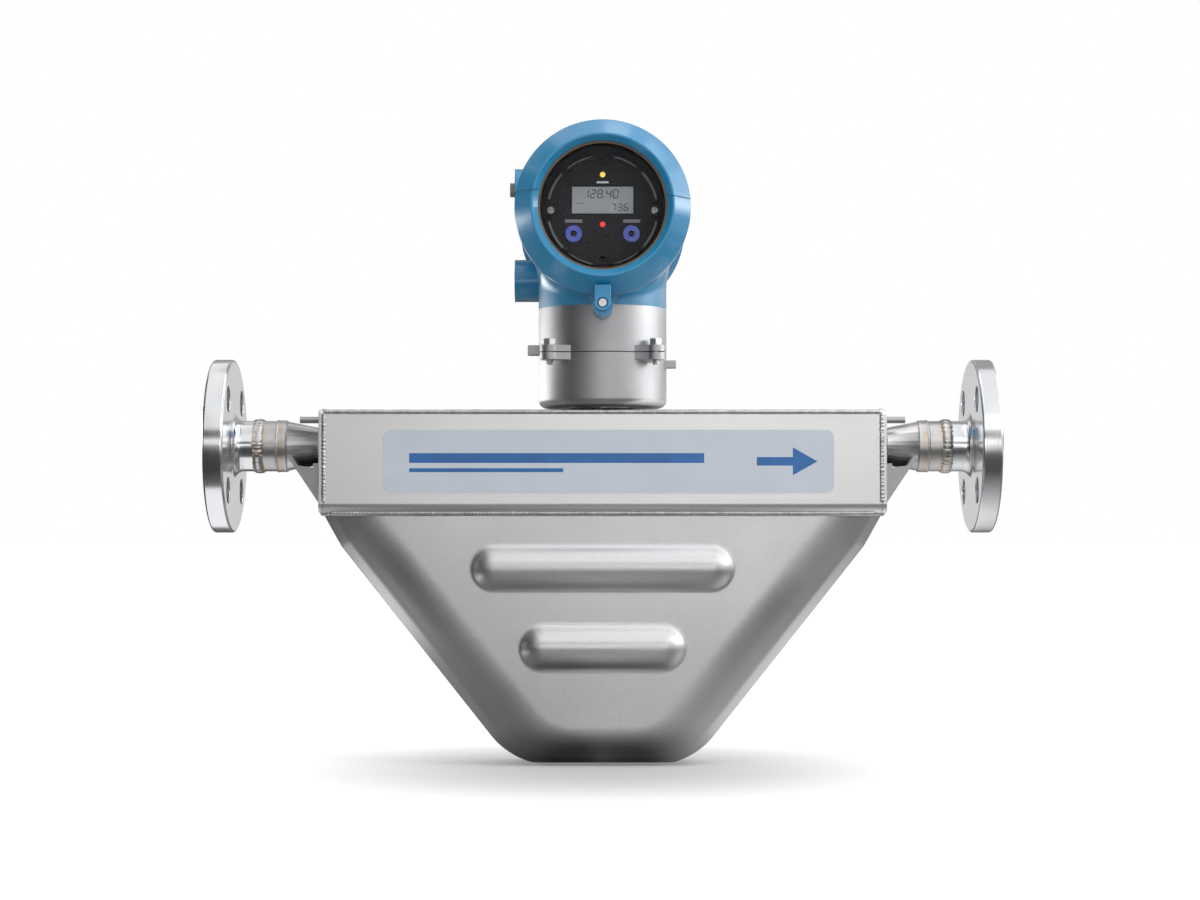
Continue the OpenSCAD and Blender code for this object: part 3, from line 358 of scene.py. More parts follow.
# %% Steel finishes
def steel(name, colour, dark, rough, grain_scale, grain_depth, patch_scale=14.0):
    """Satin steel: the colour drifts between two tones in soft patches, grain
    roughens and pits it, and the patches change its roughness a little."""
    material, t, shader, place = start_material(name, Metallic=1.0, Roughness=rough)
    grain = place_group(t, grain_group, Vector=place, Scale=grain_scale)
    patch = place_group(t, patch_group, Vector=place, Scale=patch_scale)
    speck = t.math("MULTIPLY", grain.outputs["Mask"], 0.35)
    blend = t.math("ADD", t.math("MULTIPLY", patch.outputs[0], 0.65), speck, clamp=True)
    t.put(shader.inputs["Base Color"], t.mix(blend, (*dark, 1), (*colour, 1)))
    swing = t.math("MULTIPLY", patch.outputs[0], 0.08)
    t.put(shader.inputs["Roughness"], t.math("ADD", swing, rough - 0.04))
    bump(t, shader, grain.outputs["Height"], grain_depth)
    return material


def brushed_steel(name, colour, dark, rough, along=(6.0, 900.0, 900.0), depth=0.00002):
    """Brushed steel: noise drawn out along one axis, used for tone, roughness
    and a shallow bump."""
    material, t, shader, place = start_material(name, Metallic=1.0, Roughness=rough, Anisotropic=0.3)
    stretched = t.add("Mapping", Vector=place, Scale=along)
    lines = t.add("TexNoise", Vector=stretched.outputs[0], Scale=1.0, Detail=3.0)
    patch = place_group(t, patch_group, Vector=place, Scale=9.0)
    streaks = t.math("MULTIPLY", lines.outputs[0], 0.6)
    blend = t.math("ADD", streaks, t.math("MULTIPLY", patch.outputs[0], 0.4))
    t.put(shader.inputs["Base Color"], t.mix(blend, (*dark, 1), (*colour, 1)))
    swing = t.math("MULTIPLY", lines.outputs[0], 0.12)
    t.put(shader.inputs["Roughness"], t.math("ADD", swing, rough - 0.06))
    bump(t, shader, lines.outputs[0], depth)
    return material


def turned_steel(name, colour, dark, rough, pitch=0.0007, depth=0.00003):
    """Turned steel: uneven rings about the pipe's axis mark its faces, and the
    same noise runs across its rims."""
    material, t, shader, place = start_material(name, Metallic=1.0, Roughness=rough)
    turning = place_group(t, turning_group, Vector=place, Axis_Height=pipe_z, Pitch=pitch)
    patch = place_group(t, patch_group, Vector=place, Scale=30.0)
    rings = t.math("MULTIPLY", turning.outputs[0], 0.5)
    blend = t.math("ADD", rings, t.math("MULTIPLY", patch.outputs[0], 0.5))
    t.put(shader.inputs["Base Color"], t.mix(blend, (*dark, 1), (*colour, 1)))
    swing = t.math("MULTIPLY", turning.outputs[0], 0.14)
    t.put(shader.inputs["Roughness"], t.math("ADD", swing, rough - 0.07))
    bump(t, shader, turning.outputs[0], depth)
    return material


blasted = steel("blasted_sheet", (0.74, 0.745, 0.75), (0.66, 0.66, 0.665), 0.37, 700.0, 0.00003)
plate = brushed_steel("brushed_plate", (0.90, 0.90, 0.885), (0.80, 0.80, 0.785), 0.40)
cast = steel("cast_neck_steel", (0.50, 0.505, 0.515), (0.43, 0.435, 0.445), 0.42, 900.0, 0.00003, 22.0)
flange_steel = turned_steel("turned_flange_steel", (0.86, 0.87, 0.88), (0.78, 0.79, 0.81), 0.18)
sheet_steel = steel("bracket_steel", (0.50, 0.49, 0.48), (0.40, 0.39, 0.385), 0.40, 800.0, 0.00003, 40.0)
tube_steel = brushed_steel("drawn_tube_steel", (0.78, 0.78, 0.78), (0.66, 0.66, 0.66), 0.25)
bolt_steel = steel("bolt_steel", (0.86, 0.86, 0.87), (0.74, 0.74, 0.75), 0.38, 1500.0, 0.00001, 60.0)
dark_steel = steel("dull_plug_steel", (0.34, 0.32, 0.31), (0.22, 0.20, 0.19), 0.45, 900.0, 0.00003, 60.0)
print("steels made")

# %% [markdown]
# ## Heat tint at the pipe welds
# Welding leaves stainless steel straw-gold and brown in thin bands beside the
# bead. The tint belongs to a place on the pipe, so it is drawn from the
# distance to the weld along X, the same at both ends because the sign of X is
# dropped.


# %% Manifold finish with heat tint
def tinted_pipe(name, weld_places, rough):
    """Satin steel with gold bands at the welds. weld_places holds pairs of a
    weld's X and the distance from it at which the tint is strongest. The tint
    fades over the band's width on either side, broken up by noise."""
    band_width = 0.0024
    material, t, shader, place = start_material(name, Metallic=1.0, Roughness=rough)
    parts = t.add("SeparateXYZ", i0=place)
    from_middle = t.math("ABSOLUTE", parts.outputs[0])
    tint = 0.0
    for x, peak in weld_places:
        away = t.math("ABSOLUTE", t.math("SUBTRACT", from_middle, x))
        off_peak = t.math("ABSOLUTE", t.math("SUBTRACT", away, peak))
        band = t.add("MapRange", Value=off_peak, From_Min=0.0, From_Max=band_width, To_Min=1.0, To_Max=0.0)
        tint = t.math("MAXIMUM", band.outputs[0], tint)
    straw = (0.62, 0.45, 0.30, 1)
    noise = t.add("TexNoise", Vector=place, Scale=160.0, Detail=3.0)
    breaks = t.add("MapRange", Value=noise.outputs[0], From_Min=0.3, From_Max=0.6)
    broken = t.math("MULTIPLY", tint, breaks.outputs[0])
    patch = place_group(t, patch_group, Vector=place, Scale=45.0)
    bare = t.mix(patch.outputs[0], (0.52, 0.515, 0.51, 1), (0.64, 0.635, 0.63, 1))
    t.put(shader.inputs["Base Color"], t.mix(t.math("MULTIPLY", broken, 0.8), bare, straw))
    grain = place_group(t, grain_group, Vector=place, Scale=1500.0)
    swing = t.math("MULTIPLY", patch.outputs[0], 0.08)
    t.put(shader.inputs["Roughness"], t.math("ADD", swing, rough))
    bump(t, shader, grain.outputs["Height"], 0.0000025)
    return material


weld_x = span("outlet_flange", 0)[0]
collar_x = weld_x - 0.0130
manifold_steel = tinted_pipe("manifold_steel", [(weld_x, 0.0032), (collar_x, 0.001)], 0.30)
weld_steel = tinted_pipe("pipe_weld_steel", [(weld_x, 0.0028)], 0.26)
bead_steel = steel("weld_bead_steel", (0.78, 0.77, 0.76), (0.54, 0.53, 0.53), 0.36, 500.0, 0.00006, 120.0)
print("heat tint at x = +-%.3f" % weld_x)

# %% [markdown]
# ## Paint, plastic, glass and the rest
# The transmitter is painted over cast metal: a semi-gloss coat with a faint
# orange-peel. Colour and roughness vary slightly, because a coat without any
# change looks like plastic.


# %% Paint and plastics
def paint(name, colour, shade, rough=0.42):
    """Semi-gloss paint: two close tones in soft patches and a slow orange-peel
    bump, under a clear coat."""
    material, t, shader, place = start_material(
        name, Roughness=rough, Specular_IOR_Level=0.25, Coat_Weight=1.0, Coat_Roughness=0.22, Coat_IOR=1.6
    )
    patch = place_group(t, patch_group, Vector=place, Scale=18.0)
    grain = place_group(t, grain_group, Vector=place, Scale=260.0)
    t.put(shader.inputs["Base Color"], t.mix(patch.outputs[0], (*shade, 1), (*colour, 1)))
    swing = t.math("MULTIPLY", grain.outputs["Mask"], 0.08)
    t.put(shader.inputs["Roughness"], t.math("ADD", swing, rough - 0.04))
    bump(t, shader, grain.outputs["Height"], 0.00003)
    return material


def moulded(name, colour, rough=0.45, grain_scale=1400.0, depth=0.00002, dark=0.78, **plain):
    """Moulded plastic, resin or rubber: one colour broken up by fine grain.
    Soft patches darken it by the factor dark."""
    material, t, shader, place = start_material(name, Roughness=rough, **plain)
    grain = place_group(t, grain_group, Vector=place, Scale=grain_scale)
    patch = place_group(t, patch_group, Vector=place, Scale=40.0)
    darker = tuple(c * dark for c in colour)
    t.put(shader.inputs["Base Color"], t.mix(patch.outputs[0], (*darker, 1), (*colour, 1)))
    swing = t.math("MULTIPLY", grain.outputs["Mask"], 0.12)
    t.put(shader.inputs["Roughness"], t.math("ADD", swing, rough - 0.06))
    bump(t, shader, grain.outputs["Height"], depth)
    return material


blue = paint("blue_paint", (0.008, 0.200, 0.390), (0.006, 0.180, 0.360))
panel_plastic = moulded(
    "black_panel_plastic", (0.020, 0.020, 0.022), 0.5, 1400.0, 0.0000006, dark=0.92, Specular_IOR_Level=0.05
)
ring_plastic = moulded("retaining_ring_plastic", (0.006, 0.006, 0.006), 0.5, dark=0.9, Specular_IOR_Level=0.1)
resin = moulded("potting_resin", (0.03, 0.03, 0.032), 0.5, 500.0)
rubber = moulded("seal_rubber", (0.012, 0.012, 0.012), 0.6)
brown_rubber = moulded("gasket_rubber", (0.15, 0.095, 0.055), 0.5)
board = moulded("board_lacquer", (0.02, 0.11, 0.05), 0.3, 900.0)
copper = moulded("enamelled_copper", (0.45, 0.16, 0.06), 0.28, 1600.0, Metallic=0.8)
magnet = moulded("sintered_magnet", (0.10, 0.10, 0.11), 0.5, 1600.0, Metallic=0.9)
blue_lens = moulded("blue_switch_lens", (0.040, 0.065, 0.34), 0.25, 1400.0, 0.000001, dark=0.9)
label_foil = moulded("label_foil", (0.46, 0.50, 0.56), 0.38, 2200.0, 0.000004, dark=0.95)
lcd_grey = moulded("lcd_glass", (0.215, 0.23, 0.24), 0.25, 2500.0, 0.0000005)
lcd_ink = moulded("lcd_segments", (0.020, 0.022, 0.025), 0.5, 2500.0, 0.0000005, Specular_IOR_Level=0.1)
label_ink = moulded("label_ink", (0.010, 0.110, 0.330), 0.35, 2200.0, 0.000002)


def glowing_lens(name, colour, strength):
    """A small lens of coloured plastic that also gives a little light, a bit brighter in patches. On the
    status lamp this is the lamp's own light. On the infrared window, which is no lamp, it is a painted glow."""
    material, t, shader, place = start_material(name, Roughness=0.2, Emission_Strength=strength)
    patch = place_group(t, patch_group, Vector=place, Scale=500.0)
    tone = t.mix(patch.outputs[0], (*[c * 0.8 for c in colour], 1), (*colour, 1))
    t.put(shader.inputs["Base Color"], tone)
    t.put(shader.inputs["Emission Color"], tone)
    return material


amber = glowing_lens("amber_lens", (0.90, 0.66, 0.08), 0.30)
# The infrared window is no lamp: its glow is painted light.
red = glowing_lens("red_window_painted_glow", (0.75, 0.02, 0.02), 0.25)
print("paint and plastics made")

# %% [markdown]
# ## Window glass
# The glass is clear, with a faint smear in its tint and a low index, so that it
# hides little of the display behind it. Light has to reach that display, and a
# path tracer blocks lamps behind glass, so the material turns nearly
# transparent for shadow rays only.

# %% Glass
glass, t, shader, place = start_material(
    "window_glass", Metallic=0.0, Roughness=0.0, Transmission_Weight=1.0, IOR=1.12
)
smear = place_group(t, patch_group, Vector=place, Scale=25.0)
t.put(shader.inputs["Base Color"], t.mix(smear.outputs[0], (0.97, 0.985, 0.98, 1), (1, 1, 1, 1)))
shadow_ray = t.add("LightPath").outputs["Is Shadow Ray"]
t.put(shader.inputs["Alpha"], t.math("SUBTRACT", 1.0, t.math("MULTIPLY", shadow_ray, 0.9)))
print("glass made")

# %% [markdown]
# ## Dress the CAD nodes
# A dictionary from finish to nodes keeps this readable. Each CAD mesh stays as
# it is, and only its material slots are filled.

# %% Give every CAD node its finish
finishes = {
    flange_steel: ["inlet_flange", "outlet_flange"],
    manifold_steel: ["inlet_manifold", "outlet_manifold"],
    plate: ["case_channel", "case_top_plate", "inlet_end_plate", "outlet_end_plate"],
    blasted: ["front_case_shell", "rear_case_shell"],
    sheet_steel: ["inlet_bracket", "outlet_bracket", "inlet_purge_stub", "outlet_purge_stub", "neck_stem"],
    tube_steel: ["front_flow_tube", "rear_flow_tube", "inlet_tube_brace", "outlet_tube_brace"],
    cast: ["neck_cup", "neck_ring"],
    bolt_steel: ["neck_bolts", "display_screws", "terminal_screws", "cover_lock_screw"],
    dark_steel: ["conduit_plug"],
    blue: ["transmitter_housing", "display_cover", "wiring_cover", "cover_lock_clamp"],
    label_foil: ["front_label_plate"],
    panel_plastic: ["display_panel", "tube_temperature_sensor"],
    ring_plastic: ["glass_retaining_ring"],
    resin: ["core_processor", "electronics_module", "terminal_block"],
    glass: ["cover_glass"],
    lcd_grey: ["lcd_screen"],
    amber: ["status_lamp"],
    red: ["infrared_window"],
    blue_lens: ["scroll_switch_window", "select_switch_window"],
    board: ["lead_board"],
    copper: ["sensor_leads", "drive_coil", "inlet_pickoff_coil", "outlet_pickoff_coil"],
    magnet: ["drive_magnet", "inlet_pickoff_magnet", "outlet_pickoff_magnet"],
    rubber: ["display_cover_seal", "wiring_cover_seal", "neck_gasket"],
    brown_rubber: ["glass_gasket"],
}
for material, names in finishes.items():
    for node_name in names:
        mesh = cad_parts[node_name].data
        mesh.materials.clear()
        mesh.materials.append(material)
dressed = sorted(n for names in finishes.values() for n in names)
print("dressed", len(dressed), "of", len(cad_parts), "nodes")

# %% [markdown]
# ## The pressed lower case
# Two shells are pressed from 1.5 mm sheet and welded together along a flat
# seam band. Pressing leaves no sharp edge anywhere: the sheet turns from the
# band through a bevel into the face, and the face swells gently to a raised
# panel with two stiffening ribs. A depth map is the natural way to describe
# it, because every point of the face has one distance to the middle plane.
# The map is made of signed distances to the case's outline, to the panel's
# outline and to the ribs' middle lines, each passed through a smooth curve.

# %% Sizes of the lower case, in millimetres
case_top_z = box_floor / MM
case_half = span("front_case_shell", 0)[1] / MM
shoulder = (case_half - 11.5, case_top_z - 20.5)
corner_half, corner_r = 54.2, 50.0
slope_angle = math.atan2(shoulder[1], shoulder[0] - corner_half)
seam_half, face_half, panel_half = 21.0, 27.5, 33.3
bevel_width, strip_width = 6.5, 9.0
panel_foot, panel_corner_half, panel_corner_r = 24.5, 31.0, 26.0
rib_half, rib_rise, blend_reach = 13.0, 6.2, 1.8
sheet_thickness = 1.5
ribs = [(159.0, 121.4), (100.0, 72.7)]
print("lower case: slope %.2f degrees" % math.degrees(slope_angle))

# %% [markdown]
# A signed distance says how far a point lies inside a shape. Near a straight
# side it is the distance to that side's line; in the sector of a rounded
# corner it is the corner's radius less the distance to the corner's centre.


# %% Signed distances and the depth map
def side_distance(x, z, px, pz, angle):
    """Distance of points to the inner side of a line through (px, pz) that
    rises at an angle to the right: the dot product with the inward normal."""
    return (z - pz) * math.cos(angle) - (x - px) * math.sin(angle)


def v_distance(x, z, half, foot, radius, angle, top_side=None):
    """Signed distance inside a V shape with rounded lower corners, symmetric
    about x = 0. It is the least of the distances to the bottom and to the
    sloping sides; within a lower corner's sector the corner's arc decides."""
    x = np.abs(x)
    centre_x, centre_z = half - radius * math.tan(angle / 2), foot + radius
    inside = np.minimum(z - foot, side_distance(x, z, half, foot, angle))
    if top_side is not None:
        inside = np.minimum(inside, side_distance(x, z, *top_side))
    dx, dz = x - centre_x, z - centre_z
    turn = np.arctan2(dz, dx)
    in_sector = (turn > -math.pi / 2) & (turn < angle - math.pi / 2) & (dz < 0)
    return np.where(in_sector, radius - np.hypot(dx, dz), inside)


def eased(t, start, end):
    """A ramp from 0 to 1 with rounded ends: parabolas over the first and last
    shares, and a straight line between that meets them without a kink."""
    t = np.clip(t, 0.0, 1.0)
    slope = 1.0 / (1.0 - start / 2 - end / 2)
    low = slope * t * t / (2 * start)
    high = 1.0 - slope * (1.0 - t) ** 2 / (2 * end)
    return np.where(t < start, low, np.where(t > 1 - end, high, slope * (t - start / 2)))


upper_angle = math.atan2(case_top_z - shoulder[1], case_half - shoulder[0])


def swell(x, z):
    """Rise of the face above its rim: the share of the way from the bevel's
    inner edge to the panel's outline, eased, times the panel's height. A rib
    adds a crown, a circle over the distance from the rib's middle line, joined
    to the face by a small smooth blend."""
    top_side = (case_half, case_top_z, upper_angle)
    in_case = v_distance(x, z, corner_half, 0.0, corner_r, slope_angle, top_side)
    in_panel = v_distance(x, z, panel_corner_half, panel_foot, panel_corner_r, slope_angle)
    from_rim = np.clip(in_case - bevel_width, 0, None)
    to_panel = np.maximum(-in_panel, 0.0)
    share = from_rim / (from_rim + to_panel + 1e-9)
    rise = (panel_half - face_half) * eased(share, 0.10, 0.82)
    crown_r = (rib_half**2 + rib_rise**2) / (2 * rib_rise)
    for length, height in ribs:
        reach = length / 2 - rib_half
        off = np.hypot(x - np.clip(x, -reach, reach), z - height)
        crown = np.sqrt(np.maximum(crown_r**2 - off**2, 0.0)) - (crown_r - rib_rise)
        blend = np.clip(blend_reach - np.abs(crown), 0, None) / blend_reach
        rise = rise + np.maximum(crown, 0.0) + blend * blend * blend_reach / 4
    return rise


def rounded_profile(points, radii, steps=6):
    """A polyline with its inner corners rounded. Each corner is cut back by
    its radius times the tangent of half the turn, and an arc is drawn between
    the cuts by turning about the arc's centre."""
    points = [np.array(p, float) for p in points]
    out = [points[0]]
    for before, here, after, radius in zip(points, points[1:], points[2:], radii):
        if radius <= 0:
            out.append(here)
            continue
        a = (before - here) / np.linalg.norm(before - here)
        b = (after - here) / np.linalg.norm(after - here)
        half = math.acos(np.clip(a @ b, -1, 1)) / 2
        cut = radius / math.tan(half)
        centre = here + (a + b) / np.linalg.norm(a + b) * radius / math.sin(half)
        start, end = here + a * cut - centre, here + b * cut - centre
        sweep = math.pi - 2 * half
        for k in np.linspace(0, 1, steps + 1):
            turned = math.sin((1 - k) * sweep) * start + math.sin(k * sweep) * end
            out.append(centre + turned / math.sin(sweep))
    out.append(points[-1])
    return np.array(out)


print("swell of the panel's middle: %.2f mm" % swell(np.array([0.0]), np.array([97.0]))[0])

# %% [markdown]
# The face is a grid whose rows follow the inset outline, so its lower rows
# hug the rounded corners. A strip of rings joins it to the outline and turns
# down over the bevel to the seam. Both share the outline's points, so they
# merge into one skin, and Solidify gives that skin its thickness.


# %% Build the two shells
def inset_side(inset, step=1.7):
    """Right side of the outline moved inwards, from the end of the flat bottom
    to the top: an arc, the long slope and the short upper slope. Returns the
    points and, for each, the direction to the outline for one millimetre."""
    centre = np.array([corner_half - corner_r * math.tan(slope_angle / 2), corner_r])
    turns = np.linspace(-math.pi / 2, slope_angle - math.pi / 2, 34)
    arc_out = np.stack([np.cos(turns), np.sin(turns)], 1)
    arc_points = centre + (corner_r - inset) * arc_out
    long_out = np.array([math.sin(slope_angle), -math.cos(slope_angle)])
    short_out = np.array([math.sin(upper_angle), -math.cos(upper_angle)])
    long_up = np.array([-long_out[1], long_out[0]])
    short_up = np.array([-short_out[1], short_out[0]])
    mitre = (long_out + short_out) / (1 + long_out @ short_out)
    bend = np.array(shoulder) - mitre * inset
    top_way = np.array([1 / math.sin(upper_angle), 0.0])
    top = np.array([case_half, case_top_z]) - top_way * inset
    points, ways = [arc_points], [arc_out]
    for start, end, out, up, slide_from, slide_to in (
        (arc_points[-1], bend, long_out, long_up, 0.0, mitre @ long_up),
        (bend, top, short_out, short_up, mitre @ short_up, top_way @ short_up),
    ):
        count = int(np.linalg.norm(end - start) / step)
        k = np.linspace(0, 1, count + 1)[1:, None]
        points.append(start + (end - start) * k)
        ways.append(out + up * (slide_from + (slide_to - slide_from) * k))
    return np.concatenate(points), np.concatenate(ways)


def case_shell_mesh(side):
    """Points and faces of one shell: the face's grid spreads each row evenly
    between the two sides, and the strip follows the filleted edge profile from
    the face over the bevel down to the middle plane. side is -1 in front."""
    right, way = inset_side(strip_width)
    columns = 220
    spread = np.linspace(-1, 1, columns)
    x = right[:, :1] * spread
    z = np.repeat(right[:, 1:], columns, axis=1)
    face = np.stack([x, side * (face_half + swell(x, z)), z], -1)
    flat = np.stack([x[0], z[0]], 1)
    down = np.tile([0.0, -1.0], (columns, 1))
    left = right[::-1] * [-1, 1]
    path = np.concatenate([left[:-1], flat, right[1:]])
    ways = np.concatenate([(way[::-1] * [-1, 1])[:-1], down, way[1:]])
    corners = [(0, 0), (0, seam_half), (bevel_width, face_half), (strip_width, face_half)]
    edge = rounded_profile(corners, [4.0, 5.9], 7)
    wall = np.linspace(0, edge[1, 1], 8)[:-1]
    edge = np.concatenate([np.stack([wall * 0, wall], 1), edge[1:-1], [[strip_width, face_half]]])
    moved = path[None] + ways[None] * (strip_width - edge[:, :1, None])
    depth = edge[:, 1:2] + swell(moved[..., 0], moved[..., 1]) * (edge[:, :1] > bevel_width * 0.5)
    strip = np.stack([moved[..., 0], side * depth, np.maximum(moved[..., 1], 0.0)], -1)
    faces = np.concatenate([
        grid_faces(*face.shape[:2]),
        grid_faces(*strip.shape[:2], first=face.shape[0] * face.shape[1]),
    ])
    points = np.concatenate([face.reshape(-1, 3), strip.reshape(-1, 3)])
    return points * MM, faces if side < 0 else faces[:, ::-1]


for shell_name, side, shell_node in (
    ("lower_case_front", -1, "front_case_shell"),
    ("lower_case_rear", 1, "rear_case_shell"),
):
    shell = add_piece(shell_name, *case_shell_mesh(side), "meter", "blasted_steel", blasted)
    tidy_mesh(shell, 2e-6, outward=False)
    wall = shell.modifiers.new("sheet_thickness", "SOLIDIFY")
    wall.thickness, wall.offset = sheet_thickness * MM, -1.0
    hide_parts(shell_node)
    print(shell_name, len(shell.data.polygons), "faces")

# %% [markdown]
# ## Weld beads
# A hand weld looks like a row of coins laid over each other. Along the bead
# the radius rises slowly and drops quickly, once per coin, and each coin's
# front bows forward in the middle. A tube with that radius, half sunk in the
# joint, gives the rope-like edge of the case and the lumpy rings of the pipe.


# %% Bead builder and the case's welds
def bead(path, out, radius, flat=1.0, pitch=1.6, depth=0.16, closed=False, around=10, seed=1, uneven=0.08):
    """A rippled tube along a path, in millimetres. At each point the section
    is an ellipse spanned by the out direction and the direction across; its
    size is the radius times one plus a saw of the length over the pitch, bowed
    by the squared sine of the section angle. Noise from a few sines makes
    coins unequal. Open ends shrink to a point."""
    rng = np.random.default_rng(seed)
    path, out = np.asarray(path, float), np.asarray(out, float)
    ring = np.vstack([path, path[:1]]) if closed else path
    length = np.concatenate([[0], np.cumsum(np.linalg.norm(np.diff(ring, axis=0), axis=1))])
    coins = max(3, round(length[-1] / pitch))
    count = coins * 7
    s = np.linspace(0, length[-1], count + 1)
    s = s[:-1] if closed else s
    outs = np.vstack([out, out[:1]]) if closed else out
    centre = np.stack([np.interp(s, length, ring[:, i]) for i in range(3)], 1)
    up = np.stack([np.interp(s, length, outs[:, i]) for i in range(3)], 1)
    up /= np.linalg.norm(up, axis=1)[:, None]
    ahead = np.roll(centre, -1, 0) - np.roll(centre, 1, 0) if closed else np.gradient(centre, axis=0)
    across = np.cross(ahead, up)
    across /= np.linalg.norm(across, axis=1)[:, None]
    angle = full_turn(around)
    waves = rng.uniform(0, 2 * math.pi, 4)
    share = s / length[-1] * 2 * math.pi
    wander = sum(np.sin(share * n + w) for n, w in zip((5, 11, 23, 41), waves)) / 4
    phase = (s / length[-1] * coins + 0.35 * wander)[:, None] + 0.30 * np.sin(angle)[None] ** 2
    saw = (phase % 1.0) ** 1.7
    size = radius * (1 + depth * (saw - 0.4) + uneven * wander[:, None])
    if not closed:
        from_end = np.clip(np.minimum(s, length[-1] - s) / (radius * 1.2), 0, 1)
        size = size * np.sqrt(from_end * (2 - from_end))[:, None]
    outwards = up[:, None] * (size * np.cos(angle))[..., None]
    sideways = across[:, None] * (size * flat * np.sin(angle))[..., None]
    points = centre[:, None] + outwards + sideways
    return points * MM, grid_faces(len(s), around, closed_rows=closed, closed_cols=True)


def line_path(start, end, steps=40):
    """Evenly spaced points between two ends."""
    k = np.linspace(0, 1, steps)[:, None]
    return np.array(start, float) * (1 - k) + np.array(end, float) * k


def circle_path(centre, radius, axis, steps=96):
    """Points of a circle about an axis X or Z, and their outward directions."""
    turn = full_turn(steps)
    round_way = [np.cos(turn), np.sin(turn)]
    along_axis = [np.zeros(steps)]
    out = np.stack(along_axis + round_way if axis == "x" else round_way + along_axis, 1)
    return np.array(centre, float) + radius * out, out


def bead_along(path, out, **look):
    """A bead along a path that has one outward direction all the way."""
    return bead(path, np.tile(out, (len(path), 1)), **look)


def join_parts(parts):
    """Puts several (points, faces) pairs into one, shifting face numbers."""
    points, faces, first = [], [], 0
    for p, f in parts:
        p = p.reshape(-1, 3)
        points.append(p)
        faces.append(f + first)
        first += len(p)
    return np.concatenate(points), np.concatenate(faces)


def add_welds(name, parts, slot="blasted_steel", material=bead_steel):
    """One object from several beads, closed at their ends and facing out."""
    points, faces = join_parts(parts)
    return tidy_mesh(add_piece(name, points, faces, "meter", slot, material))


box_y, top_z = box_half_y / MM, box_top / MM
end_x = box_half_x / MM
plate_x = end_x - 3.0
edge_parts, seed = [], 3
for y in (-1, 1):
    seed += 1
    edge_y, edge_z = y * (box_y - 0.7), top_z - 1.3
    path = line_path((-plate_x, edge_y, edge_z), (plate_x, edge_y, edge_z), 200)
    look = {"radius": 1.5, "flat": 1.0, "pitch": 1.5, "depth": 0.22}
    edge_parts.append(bead_along(path, [0, y * 0.7, 0.7], seed=seed, **look))
    corner_y = y * (box_y - 0.5)
    look = {"radius": 1.25, "flat": 1.3, "pitch": 2.3, "depth": 0.25}
    for x in (-1, 1):
        foot, head = (x * plate_x, corner_y, case_top_z + 6), (x * plate_x, corner_y, top_z - 2)
        path = line_path(foot, head, 80)
        edge_parts.append(bead_along(path, [x * 0.5, y, 0], seed=seed + x + 9, **look))
look = {"radius": 1.1, "flat": 1.3, "pitch": 2.1, "depth": 0.25}
for x in (-1, 1):
    front, rear = (x * plate_x, -box_y + 2, top_z - 0.4), (x * plate_x, box_y - 2, top_z - 0.4)
    path = line_path(front, rear, 80)
    edge_parts.append(bead_along(path, [x * 0.4, 0, 1.0], seed=30 + x, **look))
add_welds("upper_case_welds", edge_parts)

rim_z, rim_x, rim_y = case_top_z - 0.2, case_half - 6, panel_half + 0.4
rim_parts = []
for y in (-1, 1):
    path = line_path((-rim_x, y * rim_y, rim_z), (rim_x, y * rim_y, rim_z), 200)
    look = {"radius": 1.5, "flat": 1.1, "pitch": 1.7, "depth": 0.2}
    rim_parts.append(bead_along(path, [0, y * 0.8, -0.6], seed=50 + y, **look))
half_end = [(case_half + 0.1, seam_half), (case_half - 2.5, face_half + 1), (rim_x, rim_y)]
end_run = [(x, -y) for x, y in reversed(half_end)] + half_end
for x in (-1, 1):
    corners = [(x * along, across, rim_z) for along, across in end_run]
    path = np.concatenate([line_path(a, b, 14)[:-1] for a, b in zip(corners, corners[1:])])
    look = {"radius": 1.3, "flat": 1.1, "pitch": 1.7, "depth": 0.2}
    rim_parts.append(bead_along(path, [x * 0.9, 0, -0.5], seed=60 + x, **look))
add_welds("lower_case_rim_weld", rim_parts)

seam_side, seam_way = inset_side(0.0)
seam_parts = []
seam_side, seam_way = seam_side[6:-2], seam_way[6:-2]
middle = np.zeros(len(seam_side))
for x in (-1, 1):
    path = np.stack([x * seam_side[:, 0], middle, seam_side[:, 1]], 1)
    out = np.stack([x * seam_way[:, 0], middle, seam_way[:, 1]], 1)
    out /= np.linalg.norm(out, axis=1)[:, None]
    look = {"radius": 1.5, "flat": 1.6, "pitch": 2.0, "depth": 0.16}
    seam_parts.append(bead(path - out * 0.9, out, seed=70 + x, **look))
add_welds("seam_weld", seam_parts)
print("case welds:", len(edge_parts) + len(rim_parts) + len(seam_parts), "beads")

# %% [markdown]
# The pipe welds are wider and rougher than those of the case. The bead between
# flange and manifold is the one that carries the pipe's pressure, and it shows
# as a bright lumpy ring with straw-coloured edges.

